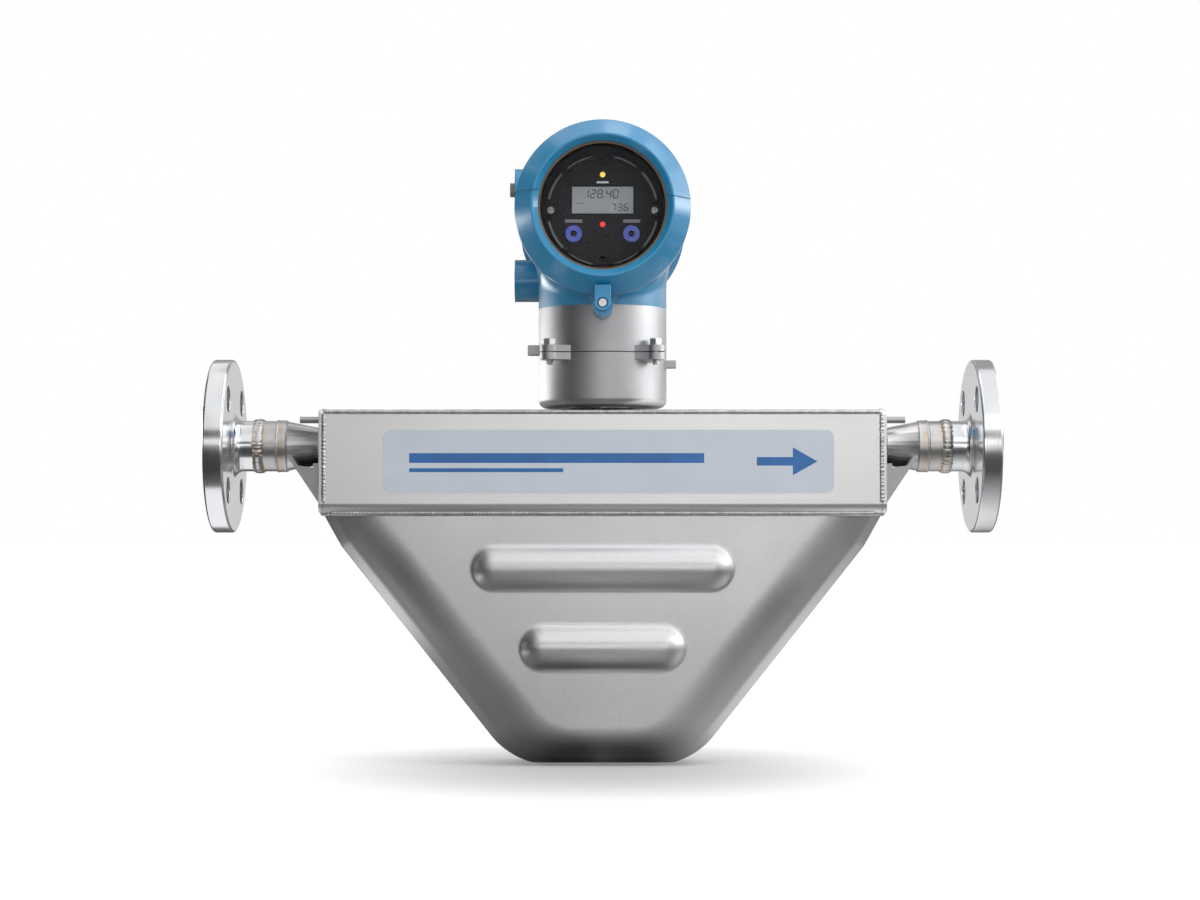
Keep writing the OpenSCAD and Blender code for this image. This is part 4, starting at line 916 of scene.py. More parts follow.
# %% Pipe, manifold, stub and stem welds
pipe_zmm = pipe_z / MM
weld_mm = weld_x / MM
pipe_r, stub_r, stem_r, collar_gap = 15.75, 2.3, 22.4, 11.8
throat_half, throat_r = 15.5, 10.5
turns = np.linspace(-math.pi / 2, math.pi / 2, 24)
arc_out = np.stack([np.cos(turns), np.sin(turns)], 1)
arc = arc_out * (throat_r + 0.4) + [throat_half, 0.0]
throat, throat_out = np.concatenate([arc, -arc]), np.concatenate([arc_out, -arc_out])
throat_rows = np.ones(len(throat))
stub_low, stub_high = box_mm("outlet_purge_stub")
stub_y, stub_z = (stub_low[1] + stub_high[1]) / 2, (stub_low[2] + stub_high[2]) / 2
pipe_parts, joint_parts = [], []
for x in (-1, 1):
    path, out = circle_path((x * weld_mm, 0, pipe_zmm), pipe_r - 0.25, "x", 120)
    look = {"radius": 1.45, "flat": 2.3, "pitch": 3.1, "depth": 0.20, "around": 14, "uneven": 0.14}
    pipe_parts.append(bead(path, out, closed=True, seed=80 + x, **look))
    path, out = circle_path((x * (weld_mm - collar_gap), 0, pipe_zmm), pipe_r - 0.1, "x", 120)
    look = {"radius": 0.75, "flat": 1.3, "pitch": 2.0, "depth": 0.2}
    pipe_parts.append(bead(path, out, closed=True, seed=84 + x, **look))
    path = np.stack([throat_rows * x * (end_x + 0.2), throat[:, 0], pipe_zmm + throat[:, 1]], 1)
    out = np.stack([throat_rows * x * 0.8, throat_out[:, 0] * 0.6, throat_out[:, 1] * 0.6], 1)
    look = {"radius": 1.5, "flat": 1.1, "pitch": 2.4, "depth": 0.22}
    joint_parts.append(bead(path, out, closed=True, seed=90 + x, **look))
    path, out = circle_path((x * (end_x + 0.1), stub_y, stub_z), stub_r, "x", 40)
    look = {"radius": 0.75, "flat": 1.0, "pitch": 1.5, "depth": 0.2, "around": 8}
    joint_parts.append(bead(path, out, closed=True, seed=94 + x, **look))
path, out = circle_path((0, 0, top_z + 0.2), stem_r, "z", 120)
look = {"radius": 1.7, "flat": 1.2, "pitch": 3.0, "depth": 0.3, "uneven": 0.14}
joint_parts.append(bead(path, out + [0, 0, 0.6], closed=True, seed=97, **look))
add_welds("pipe_welds", pipe_parts, "machined_steel", weld_steel)
add_welds("joint_welds", joint_parts)
print("pipe and joint welds:", len(pipe_parts) + len(joint_parts))

# %% [markdown]
# ## The screwed covers
# Each cover is a turned casting: a rim, a sloping flank, a ridge and, in
# front, a bevel down to the window. A bar laid in the two notches lets a
# fitter unscrew it. Revolving a profile gives all of it but the notches. Their
# edges are straight, so the columns of the revolved grid are bent: at every
# radius the edge columns stand at the angle whose sine is the edge's height
# over the radius. Two columns share each edge, one at full height and one on
# the notch floor, and the wall appears between them.

# %% Revolved cover with notches and a thread
barrel_zmm = barrel_z / MM
rim_back, rim_front, ridge_f = 52.1, 62.1, 75.1
cover_r, thread_r, pocket_r, window_r = 53.2, 46.0, 41.5, 38.8
spigot_f, seat_f = 42.1, 70.1
ridge_r, ridge_inner_r, groove_r = 43.1, 41.9, 43.4
spigot_root_f, groove_f, bore_row_f, pocket_floor_f = 49.5, 50.8, 58.0, 66.1
notch_middle, notch_half, notch_sink = 2.0, 5.5, 1.4
notch_low, notch_high = notch_middle - notch_half, notch_middle + notch_half
thread_pitch, thread_depth = 2.0, 0.85
innermost_r = 12.0


def notch_floor(radius):
    """Distance to the front that the notch floor allows at a radius: the
    cover's own line sunk by the notch depth, and no limit near the window."""
    notch_inner_r, no_limit = 40.0, 1e3
    sunk_ridge, sunk_rim = ridge_f - notch_sink, rim_front - notch_sink
    line = np.interp(radius, [ridge_inner_r, ridge_r, cover_r], [sunk_ridge, sunk_ridge, sunk_rim])
    inner = np.interp(radius, [notch_inner_r, ridge_inner_r], [seat_f + 1.5, sunk_ridge])
    return np.where(radius < notch_inner_r, no_limit, np.where(radius < ridge_inner_r, inner, line))


def notch_columns(radius, turn):
    """Angles of the columns at each radius, and which of them lie on the notch
    floor. Between the four edges, whose angles follow from height over
    radius, the columns are spread evenly. Those on the floor keep a small
    bevel's width away from the edges."""
    low = np.arcsin(np.clip(notch_low / radius, -1, 1))
    high = np.arcsin(np.clip(notch_high / radius, -1, 1))
    corners = [low, high, math.pi - high, math.pi - low, 2 * math.pi + low]
    counts = [10, 84, 10, 84]
    bevel = 0.25 / radius
    angles, floor = [], []
    for i, count in enumerate(counts):
        sunk = i % 2 == 0
        k = np.linspace(0, 1, count + 1)
        start, end = corners[i], corners[i + 1]
        if sunk:
            start, end = start + bevel, end - bevel
        angles.append(start[:, None] + (end - start)[:, None] * k)
        floor.append(np.full(count + 1, sunk))
    return np.concatenate(angles, 1) + turn, np.concatenate(floor)


def revolved_cover(profile, side, turn, threaded):
    """Revolves a profile of (radius, distance to the front) about the barrel's
    axis. On the notch floor the distance is limited, and on the spigot the
    radius is cut by a triangle wave of the distance less the pitch times the
    turn, which is a helix. threaded holds the spigot's first row and the first
    row after it."""
    radius, depth = profile[:, 0], profile[:, 1]
    angle, floor = notch_columns(np.maximum(radius, innermost_r), math.radians(turn))
    r = np.repeat(radius[:, None], angle.shape[1], 1)
    f = np.repeat(depth[:, None], angle.shape[1], 1)
    on_front = (np.arange(len(profile)) >= threaded[1])[:, None]
    f = np.where(floor[None] & on_front, np.minimum(f, notch_floor(r)), f)
    rows = np.arange(len(profile))
    on_thread = ((rows >= threaded[0]) & (rows < threaded[1]))[:, None] & (r > thread_r - 1.5)
    wave = np.abs(((f - thread_pitch * angle / (2 * math.pi)) / thread_pitch) % 1.0 - 0.5) * 2
    ends = np.clip((f - spigot_f) / 0.8, 0, 1) * np.clip((spigot_root_f - 0.3 - f) / 0.5, 0, 1)
    r = np.where(on_thread, r - thread_depth * wave * ends, r)
    points = np.stack([r * np.cos(angle), side * f, barrel_zmm + r * np.sin(angle)], -1)
    has_bore = bool(profile[0, 0] > 0)
    return points * MM, grid_faces(*angle.shape, closed_rows=has_bore, closed_cols=True)


rim_points = [
    (groove_r, groove_f),
    (groove_r, rim_back),
    (cover_r, rim_back),
    (cover_r, rim_front),
    (ridge_r, ridge_f),
    (ridge_inner_r, ridge_f),
]
rim_radii = [0.0, 0.5, 1.6, 0.7, 0.6]
window_edge = [(window_r, seat_f + 1.5), (window_r, seat_f), (pocket_r, seat_f)]
cap_f = seat_f + 0.5
cap_edge = [(38.5, cap_f), (0.0, cap_f)]
thread_rows = np.arange(spigot_f + 0.2, spigot_root_f - 0.1, 0.2)
spigot = np.concatenate([
    [(pocket_r, spigot_f), (45.4, spigot_f)],
    np.stack([np.full(len(thread_rows), thread_r), thread_rows], 1),
    [(thread_r, spigot_root_f), (groove_r, spigot_root_f)],
])
front_outside = rounded_profile(rim_points + window_edge, rim_radii + [0.4, 0.25], 5)
front_profile = np.concatenate([spigot, front_outside, [(pocket_r, bore_row_f)]])
rear_outside = rounded_profile(rim_points + cap_edge, rim_radii + [2.0], 5)[:-1]
cap = [(30.0, cap_f), (14.0, cap_f), (0.0, cap_f)]
pocket_floor = [(0.0, pocket_floor_f), (pocket_r, pocket_floor_f)]
rear_profile = np.concatenate([pocket_floor, spigot, rear_outside, cap])
for name, profile, side, turn, first_row in (
    ("display_cover", front_profile, -1, -2.6, 0),
    ("wiring_cover", rear_profile, 1, 0.0, len(pocket_floor)),
):
    threaded = (first_row + 2, first_row + len(spigot))
    mesh_parts = revolved_cover(profile, side, turn, threaded)
    cover = add_piece(name + "_casting", *mesh_parts, name, "blue_paint", blue)
    tidy_mesh(cover, sharp_angle=32)
    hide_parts(name)
print("covers:", len(front_profile), "and", len(rear_profile), "profile points")

# %% [markdown]
# ## Cast fillet under the barrel
# Where the vertical foot meets the barrel, the casting flows from one cylinder
# into the other. The fillet runs all the way round: at each compass angle it is
# a curve from the foot's wall to the barrel's skin, whose control point is the
# corner between the two cylinders. It is smaller in front and at the back,
# where the foot's wall faces along the barrel.

# %% Fillet between the foot and the barrel
foot_r, barrel_r, foot_drop = 40.0, 50.0, 56.2


def barrel_skin(x):
    """Height of the barrel's lower skin at a sideways distance."""
    return barrel_zmm - np.sqrt(np.maximum(barrel_r**2 - x**2, 1.0))


turns = full_turn(144)[None]
u = np.linspace(0, 1, 14)[:, None]
along_barrel = np.abs(np.sin(turns))
reach = 7.5 - 1.5 * along_barrel
corner_z = barrel_skin(foot_r * np.cos(turns))
wall_z = corner_z - (15.0 - 10.0 * along_barrel)
wall_z = np.maximum(wall_z, barrel_zmm - foot_drop)
out_r = foot_r + reach
skin_z = barrel_skin(out_r * np.cos(turns))
radius = (1 - u) ** 2 * foot_r + 2 * u * (1 - u) * foot_r + u**2 * out_r
height = (1 - u) ** 2 * wall_z + 2 * u * (1 - u) * corner_z + u**2 * skin_z
inner_rows = [np.full_like(turns, foot_r - 1.5), np.full_like(turns, foot_r - 1.0)]
radius = np.vstack([radius, out_r - 1.2, *inner_rows])
height = np.vstack([height, skin_z + 1.6, corner_z + 1.2, wall_z + 0.2])
points = np.stack([radius * np.cos(turns), radius * np.sin(turns), height], -1) * MM
fillet_faces = grid_faces(*radius.shape, closed_rows=True, closed_cols=True)
fillet = add_piece("housing_fillet", points, fillet_faces, "meter", "blue_paint", blue)
tidy_mesh(fillet, sharp_angle=50)
print("fillet:", len(fillet.data.polygons), "faces")

# %% [markdown]
# ## Neck bolts
# The bolts are plain hexagon bolts with a chamfered head, a washer face under
# it, and a threaded end that shows below the lug.


# %% Hexagon bolts
def hex_bolt(x, y, shank_r, flat_r, head_z, head_h, tip_z):
    """Rows of a bolt standing up from its tip. The radius of the head is that
    of a hexagon, the flat's radius over the cosine of the angle from its
    middle, but never more than a cone that chamfers its top. The end of the
    shank carries a thread, a triangle wave of the height less the pitch times
    the turn."""
    columns = 48
    turn = full_turn(columns)
    hexagon = flat_r / np.cos((turn + math.pi / 6) % (math.pi / 3) - math.pi / 6)
    rows = [(0.0, tip_z), (shank_r * 0.75, tip_z), (shank_r, tip_z + 0.4)]
    body, z = [np.full(columns, r) for r, _ in rows], [h for _, h in rows]
    pitch, thread = 0.7, 0.22
    for h in np.arange(tip_z + 0.5, tip_z + 3.2, 0.12):
        body.append(shank_r - thread * np.abs(((h - pitch * turn / (2 * math.pi)) / pitch) % 1 - 0.5) * 2)
        z.append(h)
    washer = flat_r * 0.97
    for r, h in ((shank_r, tip_z + 3.3), (shank_r, head_z), (washer, head_z), (washer, head_z + 0.3)):
        body.append(np.full(columns, r))
        z.append(h)
    for h in (0.3, 0.55, head_h - 0.9, head_h - 0.45, head_h):
        cone = flat_r * 1.16 - max(0.0, h - head_h + 0.9) * 0.55
        body.append(np.minimum(hexagon, cone if h > 0.4 else flat_r * 1.12))
        z.append(head_z + h)
    body.append(np.zeros(columns))
    z.append(head_z + head_h)
    r, h = np.array(body), np.repeat(np.array(z)[:, None], columns, 1)
    points = np.stack([x + r * np.cos(turn), y + r * np.sin(turn), h], -1)
    return points * MM, grid_faces(*r.shape, closed_cols=True)


bolt_low, bolt_high = box_mm("neck_bolts")
lug_circle_r, bolt_shank_r, bolt_flat_r, bolt_head_h = 46.0, 2.0, 3.5, 4.0
bolt_heights = (bolt_high[2] - bolt_head_h, bolt_head_h, bolt_low[2])
bolts = []
for quarter in range(4):
    angle = math.radians(45 + 90 * quarter)
    x, y = lug_circle_r * math.cos(angle), lug_circle_r * math.sin(angle)
    bolts.append(hex_bolt(x, y, bolt_shank_r, bolt_flat_r, *bolt_heights))
bolt_set = add_piece("neck_bolt_set", *join_parts(bolts), "meter", "bolt_steel", bolt_steel)
tidy_mesh(bolt_set, sharp_angle=30)
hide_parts("neck_bolts")
print("bolts:", len(bolts))

# %% [markdown]
# ## Display segments and print
# The screen is a reflective liquid crystal. Its dark segments lie just under
# the glass, so each is a flat plate a hair proud of the screen. The numbers
# are plain ones. The print on the panel and on the label is kept to bars and
# an arrow that stand for text.


# %% Plates for segments and print
def plate_xz(outline, front_y, thick=0.05):
    """A thin plate from a convex outline in X and Z, extruded back from
    front_y, with a fan of triangles on each side. Millimetres."""
    outline = np.asarray(outline, float)
    n = len(outline)
    rim = [np.stack([outline[:, 0], np.full(n, y), outline[:, 1]], 1) for y in (front_y, front_y + thick)]
    middle = outline.mean(0)
    hubs = [[middle[0], y, middle[1]] for y in (front_y, front_y + thick)]
    points = np.concatenate([rim[0], rim[1], hubs])
    i = np.arange(n)
    j = (i + 1) % n
    walls = np.stack([i, j, j + n, i + n], 1)
    front_cap = np.stack([np.full(n, 2 * n), i, j, j], 1)
    rear_cap = np.stack([np.full(n, 2 * n + 1), j + n, i + n, i + n], 1)
    return points * MM, np.concatenate([walls, front_cap, rear_cap])


def triangles_or_quads(faces):
    """Face lists without repeated corners, so a triangle stays one."""
    return [f[:3] if f[2] == f[3] else f for f in np.asarray(faces).tolist()]


def add_plates(name, parts, slot, material):
    """One object from several plates, with flat faces."""
    points, faces = join_parts(parts)
    faces = triangles_or_quads(faces)
    return tidy_mesh(add_piece(name, points, faces, "meter", slot, material, smooth=False))


def bar(x0, z0, x1, z1):
    """Corners of a rectangle."""
    return [(x0, z0), (x1, z0), (x1, z1), (x0, z1)]


SEGMENTS = {
    "0": "abcdef", "1": "bc", "2": "abged", "3": "abgcd", "4": "fgbc",
    "5": "afgcd", "6": "afgedc", "7": "abc", "8": "abcdefg", "9": "abcdfg",
}


def digit(char, x, z, width, height, stroke, front_y):
    """The seven segments of a digit as slim hexagons, leaning to the right by
    a tenth of their height."""
    gap, middle, right, top = stroke * 0.18, z + height / 2, x + width, z + height
    lines = {
        "a": ((x + gap, top), (right - gap, top)),
        "b": ((right, middle + gap), (right, top - gap)),
        "c": ((right, z + gap), (right, middle - gap)),
        "d": ((x + gap, z), (right - gap, z)),
        "e": ((x, z + gap), (x, middle - gap)),
        "f": ((x, middle + gap), (x, top - gap)),
        "g": ((x + gap, middle), (right - gap, middle)),
    }
    parts = []
    for key in SEGMENTS[char]:
        start, end = np.array(lines[key])
        along = (end - start) / np.linalg.norm(end - start)
        side = np.array([-along[1], along[0]]) * stroke / 2
        near, far = start + along * stroke / 2, end - along * stroke / 2
        shape = np.array([start, near - side, far - side, end, far + side, near + side])
        shape[:, 0] += (shape[:, 1] - z) * 0.10
        parts.append(plate_xz(shape, front_y))
    return parts


lcd_low, lcd_high = box_mm("lcd_screen")
lcd_mid = (lcd_low[2] + lcd_high[2]) / 2
ink_y = lcd_low[1] - 0.04
segments = []
for char, x in zip("12840", (-11.6, -7.4, -3.2, 2.2, 6.4)):
    segments += digit(char, x, lcd_mid + 1.4, 2.7, 4.9, 0.62, ink_y)
segments.append(plate_xz(bar(0.55, lcd_mid + 1.2, 1.15, lcd_mid + 1.8), ink_y))
for char, x in zip("736", (5.2, 9.0, 12.8)):
    segments += digit(char, x, lcd_mid - 6.3, 2.3, 4.0, 0.5, ink_y)
for x in (-16.2, -14.4, -12.6):
    segments.append(plate_xz(bar(x, lcd_mid - 2.1, x + 1.3, lcd_mid - 1.7), ink_y))
add_plates("screen_segments", segments, "lcd", lcd_ink)

panel_face_y = -45.0
panel_y = panel_face_y - 0.03
mark_half, mark_low, mark_high = 3.6, 355.7, 356.9
marks = [plate_xz(bar(-mark_half, mark_low, mark_half, mark_high), panel_y)]
line_half, line_height = 5.2, 0.35
for x in (-17.6, 17.6):
    for z in (331.9, 333.0):
        marks.append(plate_xz(bar(x - line_half, z, x + line_half, z + line_height), panel_y))
add_plates("panel_print", marks, "black_moulding", moulded("panel_print_ink", (0.42, 0.43, 0.44), 0.5))

label_low, label_high = box_mm("front_label_plate")
label_mid = (label_low[2] + label_high[2]) / 2
print_y = label_low[1] - 0.03
label_parts = [
    plate_xz(bar(-118.0, label_mid - 1.0, 62.0, label_mid + 5.0), print_y),
    plate_xz(bar(-118.0, label_mid - 6.6, -24.0, label_mid - 4.2), print_y),
    plate_xz(bar(94.0, label_mid - 2.6, 118.0, label_mid + 2.6), print_y),
    plate_xz([(116.0, label_mid - 8.5), (131.0, label_mid), (116.0, label_mid + 8.5)], print_y - 0.06),
]
add_plates("label_print", label_parts, "label_foil", label_ink)
print("segments:", len(segments), "panel marks:", len(marks), "label shapes:", len(label_parts))

# %% [markdown]
# ## Softened edges
# Machined and folded parts have their edges broken, and those narrow bevels
# catch the light. The CAD solids are sharp, so the larger visible ones are
# copied, cleaned of the triangles that lie in one plane, and bevelled where the
# edge is sharper than a set angle. Their normals are then weighted by area, so
# that flat faces look flat and round walls look round.


# %% Copies with broken edges
def smooth_by_area(mesh):
    """Normals at each corner point as the mean of the faces around it, each
    weighted by its area. Large flat faces stay flat and the bevels turn."""
    count = len(mesh.polygons)
    facing, area = np.zeros(count * 3), np.zeros(count)
    mesh.polygons.foreach_get("normal", facing)
    mesh.polygons.foreach_get("area", area)
    corners, sides = np.zeros(len(mesh.loops), int), np.zeros(count, int)
    mesh.loops.foreach_get("vertex_index", corners)
    mesh.polygons.foreach_get("loop_total", sides)
    weighted = np.repeat(facing.reshape(-1, 3) * area[:, None], sides, 0)
    total = np.zeros((len(mesh.vertices), 3))
    np.add.at(total, corners, weighted)
    total /= np.maximum(np.linalg.norm(total, axis=1), 1e-15)[:, None]
    mesh.shade_smooth()
    mesh.normals_split_custom_set_from_vertices(total.tolist())


def soft_copy(node, width, material, body="meter"):
    """A merged copy of a CAD node with its flat areas dissolved into single
    faces and its edges of more than 35 degrees bevelled. Width is in
    millimetres."""
    piece = bpy.data.objects.new(node + "_finished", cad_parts[node].data.copy())
    scene.collection.objects.link(piece)
    work = bmesh.new()
    work.from_mesh(piece.data)
    bmesh.ops.remove_doubles(work, verts=work.verts, dist=1e-6)
    flat = math.radians(0.4)
    bmesh.ops.dissolve_limit(
        work, angle_limit=flat, verts=work.verts, edges=work.edges, delimit={"NORMAL"}
    )
    sharp = [e for e in work.edges if e.is_manifold and e.calc_face_angle() > math.radians(35.0)]
    bmesh.ops.bevel(
        work,
        geom=sharp,
        offset=width * MM,
        segments=2,
        profile=0.5,
        affect="EDGES",
        clamp_overlap=True,
        miter_outer="ARC",
    )
    work.to_mesh(piece.data)
    work.free()
    piece.data.materials.clear()
    piece.data.materials.append(material)
    smooth_by_area(piece.data)
    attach(piece, body)
    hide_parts(node)
    return piece


softened = [
    soft_copy("inlet_flange", 0.6, flange_steel),
    soft_copy("outlet_flange", 0.6, flange_steel),
    soft_copy("case_channel", 0.4, plate),
    soft_copy("case_top_plate", 0.5, plate),
    soft_copy("inlet_end_plate", 0.5, plate),
    soft_copy("outlet_end_plate", 0.5, plate),
    soft_copy("inlet_bracket", 0.3, sheet_steel),
    soft_copy("outlet_bracket", 0.3, sheet_steel),
    soft_copy("neck_cup", 0.6, cast),
    soft_copy("neck_ring", 0.6, cast),
    soft_copy("cover_lock_clamp", 0.5, blue, "cover_lock"),
    soft_copy("transmitter_housing", 0.6, blue),
]
print("softened:", [p.name for p in softened])

# %% [markdown]
# ## Small parts behind the window
# The panel is held by two small screws with crossed slots. The two optical
# switches are blue rings about a dark eye, and a black lip shows inside the
# window. These are turned shapes, so one helper revolves a profile about a line
# that runs from front to back. Low ridges curve round the panel's middle, and
# a thin border frames the screen.


# %% Screws, switch eyes, window lip, ridges and screen border
def turned_xz(profile, x, z, columns=48, slot=None):
    """Revolves (radius, Y) pairs about the line through (x, z). With a slot of
    (half width, reach, depth), points inside either bar of a cross move back
    by the depth."""
    radius, y = np.asarray(profile, float).T
    turn = full_turn(columns)
    r = np.repeat(radius[:, None], columns, 1)
    dx, dz = r * np.cos(turn), r * np.sin(turn)
    depth = np.repeat(y[:, None], columns, 1)
    if slot is not None:
        half, reach, sink = slot
        near = np.minimum(np.abs(dx), np.abs(dz))
        edge = np.clip((half + 0.06 - near) / 0.12, 0, 1) * np.clip((reach - r) / 0.1, 0, 1)
        depth = depth + sink * edge * (np.arange(len(radius)) > 1)[:, None]
    points = np.stack([x + dx, depth, z + dz], -1)
    is_ring = radius[0] > 0 and radius[-1] > 0
    return points * MM, grid_faces(*r.shape, closed_rows=is_ring, closed_cols=True)


screw_low, screw_high = box_mm("display_screws")
head_y, screw_z = screw_low[1], (screw_low[2] + screw_high[2]) / 2
head_r = (screw_high[2] - screw_low[2]) / 2
screw_x = screw_high[0] - head_r
head = [(0.0, head_y + 1.2), (head_r, head_y + 1.2), (head_r, head_y + 0.45), (head_r * 0.86, head_y + 0.12)]
head += [(r, head_y + 0.02) for r in np.linspace(head_r * 0.7, 0.0, 16)]
screws = [turned_xz(head, side * screw_x, screw_z, 64, (0.26, head_r * 0.72, 0.5)) for side in (-1, 1)]
shank = [(0.0, screw_high[1]), (1.2, screw_high[1]), (1.2, head_y + 1.1), (0.0, head_y + 1.1)]
screws += [turned_xz(shank, side * screw_x, screw_z) for side in (-1, 1)]
screw_steel = steel("panel_screw_steel", (0.26, 0.26, 0.26), (0.18, 0.18, 0.18), 0.35, 1500.0, 0.00001, 60.0)
panel_screws = add_piece("panel_screws", *join_parts(screws), "meter", "bolt_steel", screw_steel)
tidy_mesh(panel_screws, sharp_angle=35)
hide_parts("display_screws")

eyes, eye_r = [], 1.9
for node in ("scroll_switch_window", "select_switch_window"):
    low, high = box_mm(node)
    x, z, front = (low[0] + high[0]) / 2, (low[2] + high[2]) / 2, low[1]
    dome = [(0.0, front + 1.6), (eye_r, front + 1.6)]
    for a in np.linspace(0, math.pi / 2, 9):
        dome.append((eye_r * math.cos(a), front + 0.9 - 0.7 * math.sin(a)))
    eyes.append(turned_xz(dome, x, z))
eye_glass = moulded("switch_eye", (0.006, 0.006, 0.008), 0.08, 1400.0, 0.0000005, Specular_IOR_Level=0.25)
eye_piece = add_piece("switch_eyes", *join_parts(eyes), "meter", "black_moulding", eye_glass)
tidy_mesh(eye_piece, sharp_angle=35)

glass_back = -box_mm("cover_glass")[1][1]
lip_profile = [(39.2, 0.2), (36.5, 0.2), (36.3, 0.4), (36.3, 1.6), (39.2, 1.6)]
lip = turned_xz([(r, -(glass_back - sunk)) for r, sunk in lip_profile], 0.0, barrel_zmm, 160)
lip_piece = add_piece("window_lip", *lip, "display_cover", "black_moulding", ring_plastic)
tidy_mesh(lip_piece, sharp_angle=35)

guard_r = 33.4
guard_arcs = [(50, 81, 1.6, 1.0), (99, 132, 1.6, 1.0), (135, 171, 2.2, 1.6), (189, 227, 2.2, 1.6)]


def ridge(start, end, stands, width, steps=32):
    """A low crowned bar along an arc about the barrel's axis, from start to end
    in degrees, that stands some millimetres off the panel. Three steps at
    each end shrink it shut."""
    turn = np.radians(np.linspace(start, end, steps))[:, None]
    half_section = [(-width / 2, 0.2), (-width / 2, -0.15), (-width / 4, -0.35)]
    section = np.array(half_section + [(-a, b) for a, b in reversed(half_section)])
    from_end = np.minimum(np.arange(steps), np.arange(steps - 1, -1, -1))
    shrink = np.clip(from_end / 3.0, 0, 1)[:, None] ** 0.5
    across = guard_r + section[:, 0] * shrink
    depth = panel_face_y - stands + section[:, 1] * shrink
    points = np.stack([across * np.cos(turn), depth, barrel_zmm + across * np.sin(turn)], -1)
    return points * MM, grid_faces(steps, len(section), closed_cols=True)


ridges = []
for start, end, stands, width in guard_arcs:
    for half_turn in (0, 180):
        ridges.append(ridge(start + half_turn + 2, end + half_turn - 2, stands, width))
# The ridges are of the panel's black moulding, and their lighter grey is a painted sheen.
guard_painted_sheen = moulded("guard_ridge_painted_sheen", (0.075, 0.075, 0.078), 0.4, 1400.0, 0.000001)
guards = add_piece("guard_ridges", *join_parts(ridges), "meter", "black_moulding", guard_painted_sheen)
tidy_mesh(guards, sharp_angle=50)

lcd_x = (lcd_high[0] - lcd_low[0]) / 2 - 1.0 + 0.1
lcd_z0, lcd_z1 = lcd_low[2] + 0.9, lcd_high[2] - 0.9
wide = 0.7
edges = [
    bar(-lcd_x - wide, lcd_z0 - wide, lcd_x + wide, lcd_z0),
    bar(-lcd_x - wide, lcd_z1, lcd_x + wide, lcd_z1 + wide),
    bar(-lcd_x - wide, lcd_z0, -lcd_x, lcd_z1),
    bar(lcd_x, lcd_z0, lcd_x + wide, lcd_z1),
]
border = [plate_xz(edge, panel_face_y - 0.05) for edge in edges]
add_plates("screen_border", border, "black_moulding", ring_plastic)
print("screws at x = %.1f, head radius %.2f, glass back at %.1f" % (screw_x, head_r, glass_back))

# %% [markdown]
# ## Studio
# The meter stands in a white room. The world is white wherever the camera, a
# reflection or the glass looks, and a little dimmer as a light source. Bright
# metal shows the room more than itself, so the room needs dark places too. Six
# rings of card at six heights stand round the meter, and each changes its grey
# with the compass angle. Most of them are nearly black at the left and
# brighter to the right. A table card lies under the meter, with a small bright
# one at its left, and flat cards hang over it, for the surfaces that face down
# and up. All cards show in reflections only.
#
# The floor glows white, and less so below the meter. That stands for the soft
# shadow under it, which reaches out a little more to the front.


# %% World and card helpers
def reflected(t):
    """One for camera, glossy and transmission rays, and zero for light that
    spreads from matt surfaces."""
    rays = t.add("LightPath")
    inner = t.math("MAXIMUM", rays.outputs["Is Glossy Ray"], rays.outputs["Is Transmission Ray"])
    return t.math("MAXIMUM", rays.outputs["Is Camera Ray"], inner)


world = bpy.data.worlds.new("white_room")
scene.world = world
world.use_nodes = True
t = Tree(world.node_tree)
background = world.node_tree.nodes["Background"]
t.put(background.inputs["Color"], (1, 1, 1, 1))
room_level = t.add("MapRange", Value=reflected(t), To_Min=0.95, To_Max=1.0)
t.put(background.inputs["Strength"], room_level.outputs[0])
ring_radius = 1.30


def stage_mesh(name, points, faces, material, hidden=False):
    """A stage object. A hidden one shows only in reflections."""
    mesh = bpy.data.meshes.new(name)
    mesh.from_pydata(np.asarray(points, float).tolist(), [], np.asarray(faces).tolist())
    card = bpy.data.objects.new(name, mesh)
    scene.collection.objects.link(card)
    mesh.materials.append(material)
    if hidden:
        card.visible_camera = False
        card.visible_diffuse = False
        card.visible_shadow = False
        card.visible_transmission = False


def rectangle(centre, right, up):
    """Corners of a flat card from its centre and two half edges."""
    c, r, u = np.array(centre), np.array(right), np.array(up)
    return [c - r - u, c + r - u, c + r + u, c - r + u], [(0, 1, 2, 3)]


def glowing(name, grey, strength):
    """Starts a material without any shine: an even grey that also glows."""
    base = (grey, grey, grey, 1)
    plain = {"Base_Color": base, "Roughness": 1.0, "Specular_IOR_Level": 0.0}
    return start_material(name, Emission_Strength=strength, **plain)


def grey_card(name, level):
    """A card that shows one even grey in reflections."""
    material, t, shader, place = glowing(name, 0.0, 1.0)
    shader.inputs["Emission Color"].default_value = (level, level, level * 1.02, 1)
    return material


def ring_card(name, stops, gain, fade=None):
    """A card whose grey follows the compass angle about the meter, from -180
    degrees through 0 in front to 180, counted to the right. Stops are (angle,
    grey) pairs, and gain is at least the brightest grey, because a ramp ends
    at one. A fade of (distance from the middle, factor) pairs dims the card."""
    material, t, shader, place = glowing(name, 0.0, gain)
    parts = t.add("SeparateXYZ", i0=place)
    forward = t.math("MULTIPLY", parts.outputs[1], -1.0)
    angle = t.math("ARCTAN2", parts.outputs[0], forward)
    share = t.math("ADD", t.math("DIVIDE", angle, 2 * math.pi), 0.5)
    grey = [((a + 180.0) / 360.0, (v / gain, v / gain, v / gain)) for a, v in stops]
    t.put(shader.inputs["Emission Color"], t.ramp(share, grey))
    if fade:
        reach = t.add("VectorMath", operation="LENGTH", i0=place).outputs["Value"]
        fade_stops = [(d / ring_radius, (f, f, f)) for d, f in fade]
        factor = t.ramp(t.math("DIVIDE", reach, ring_radius), fade_stops)
        t.put(shader.inputs["Emission Strength"], t.math("MULTIPLY", factor, gain))
    return material


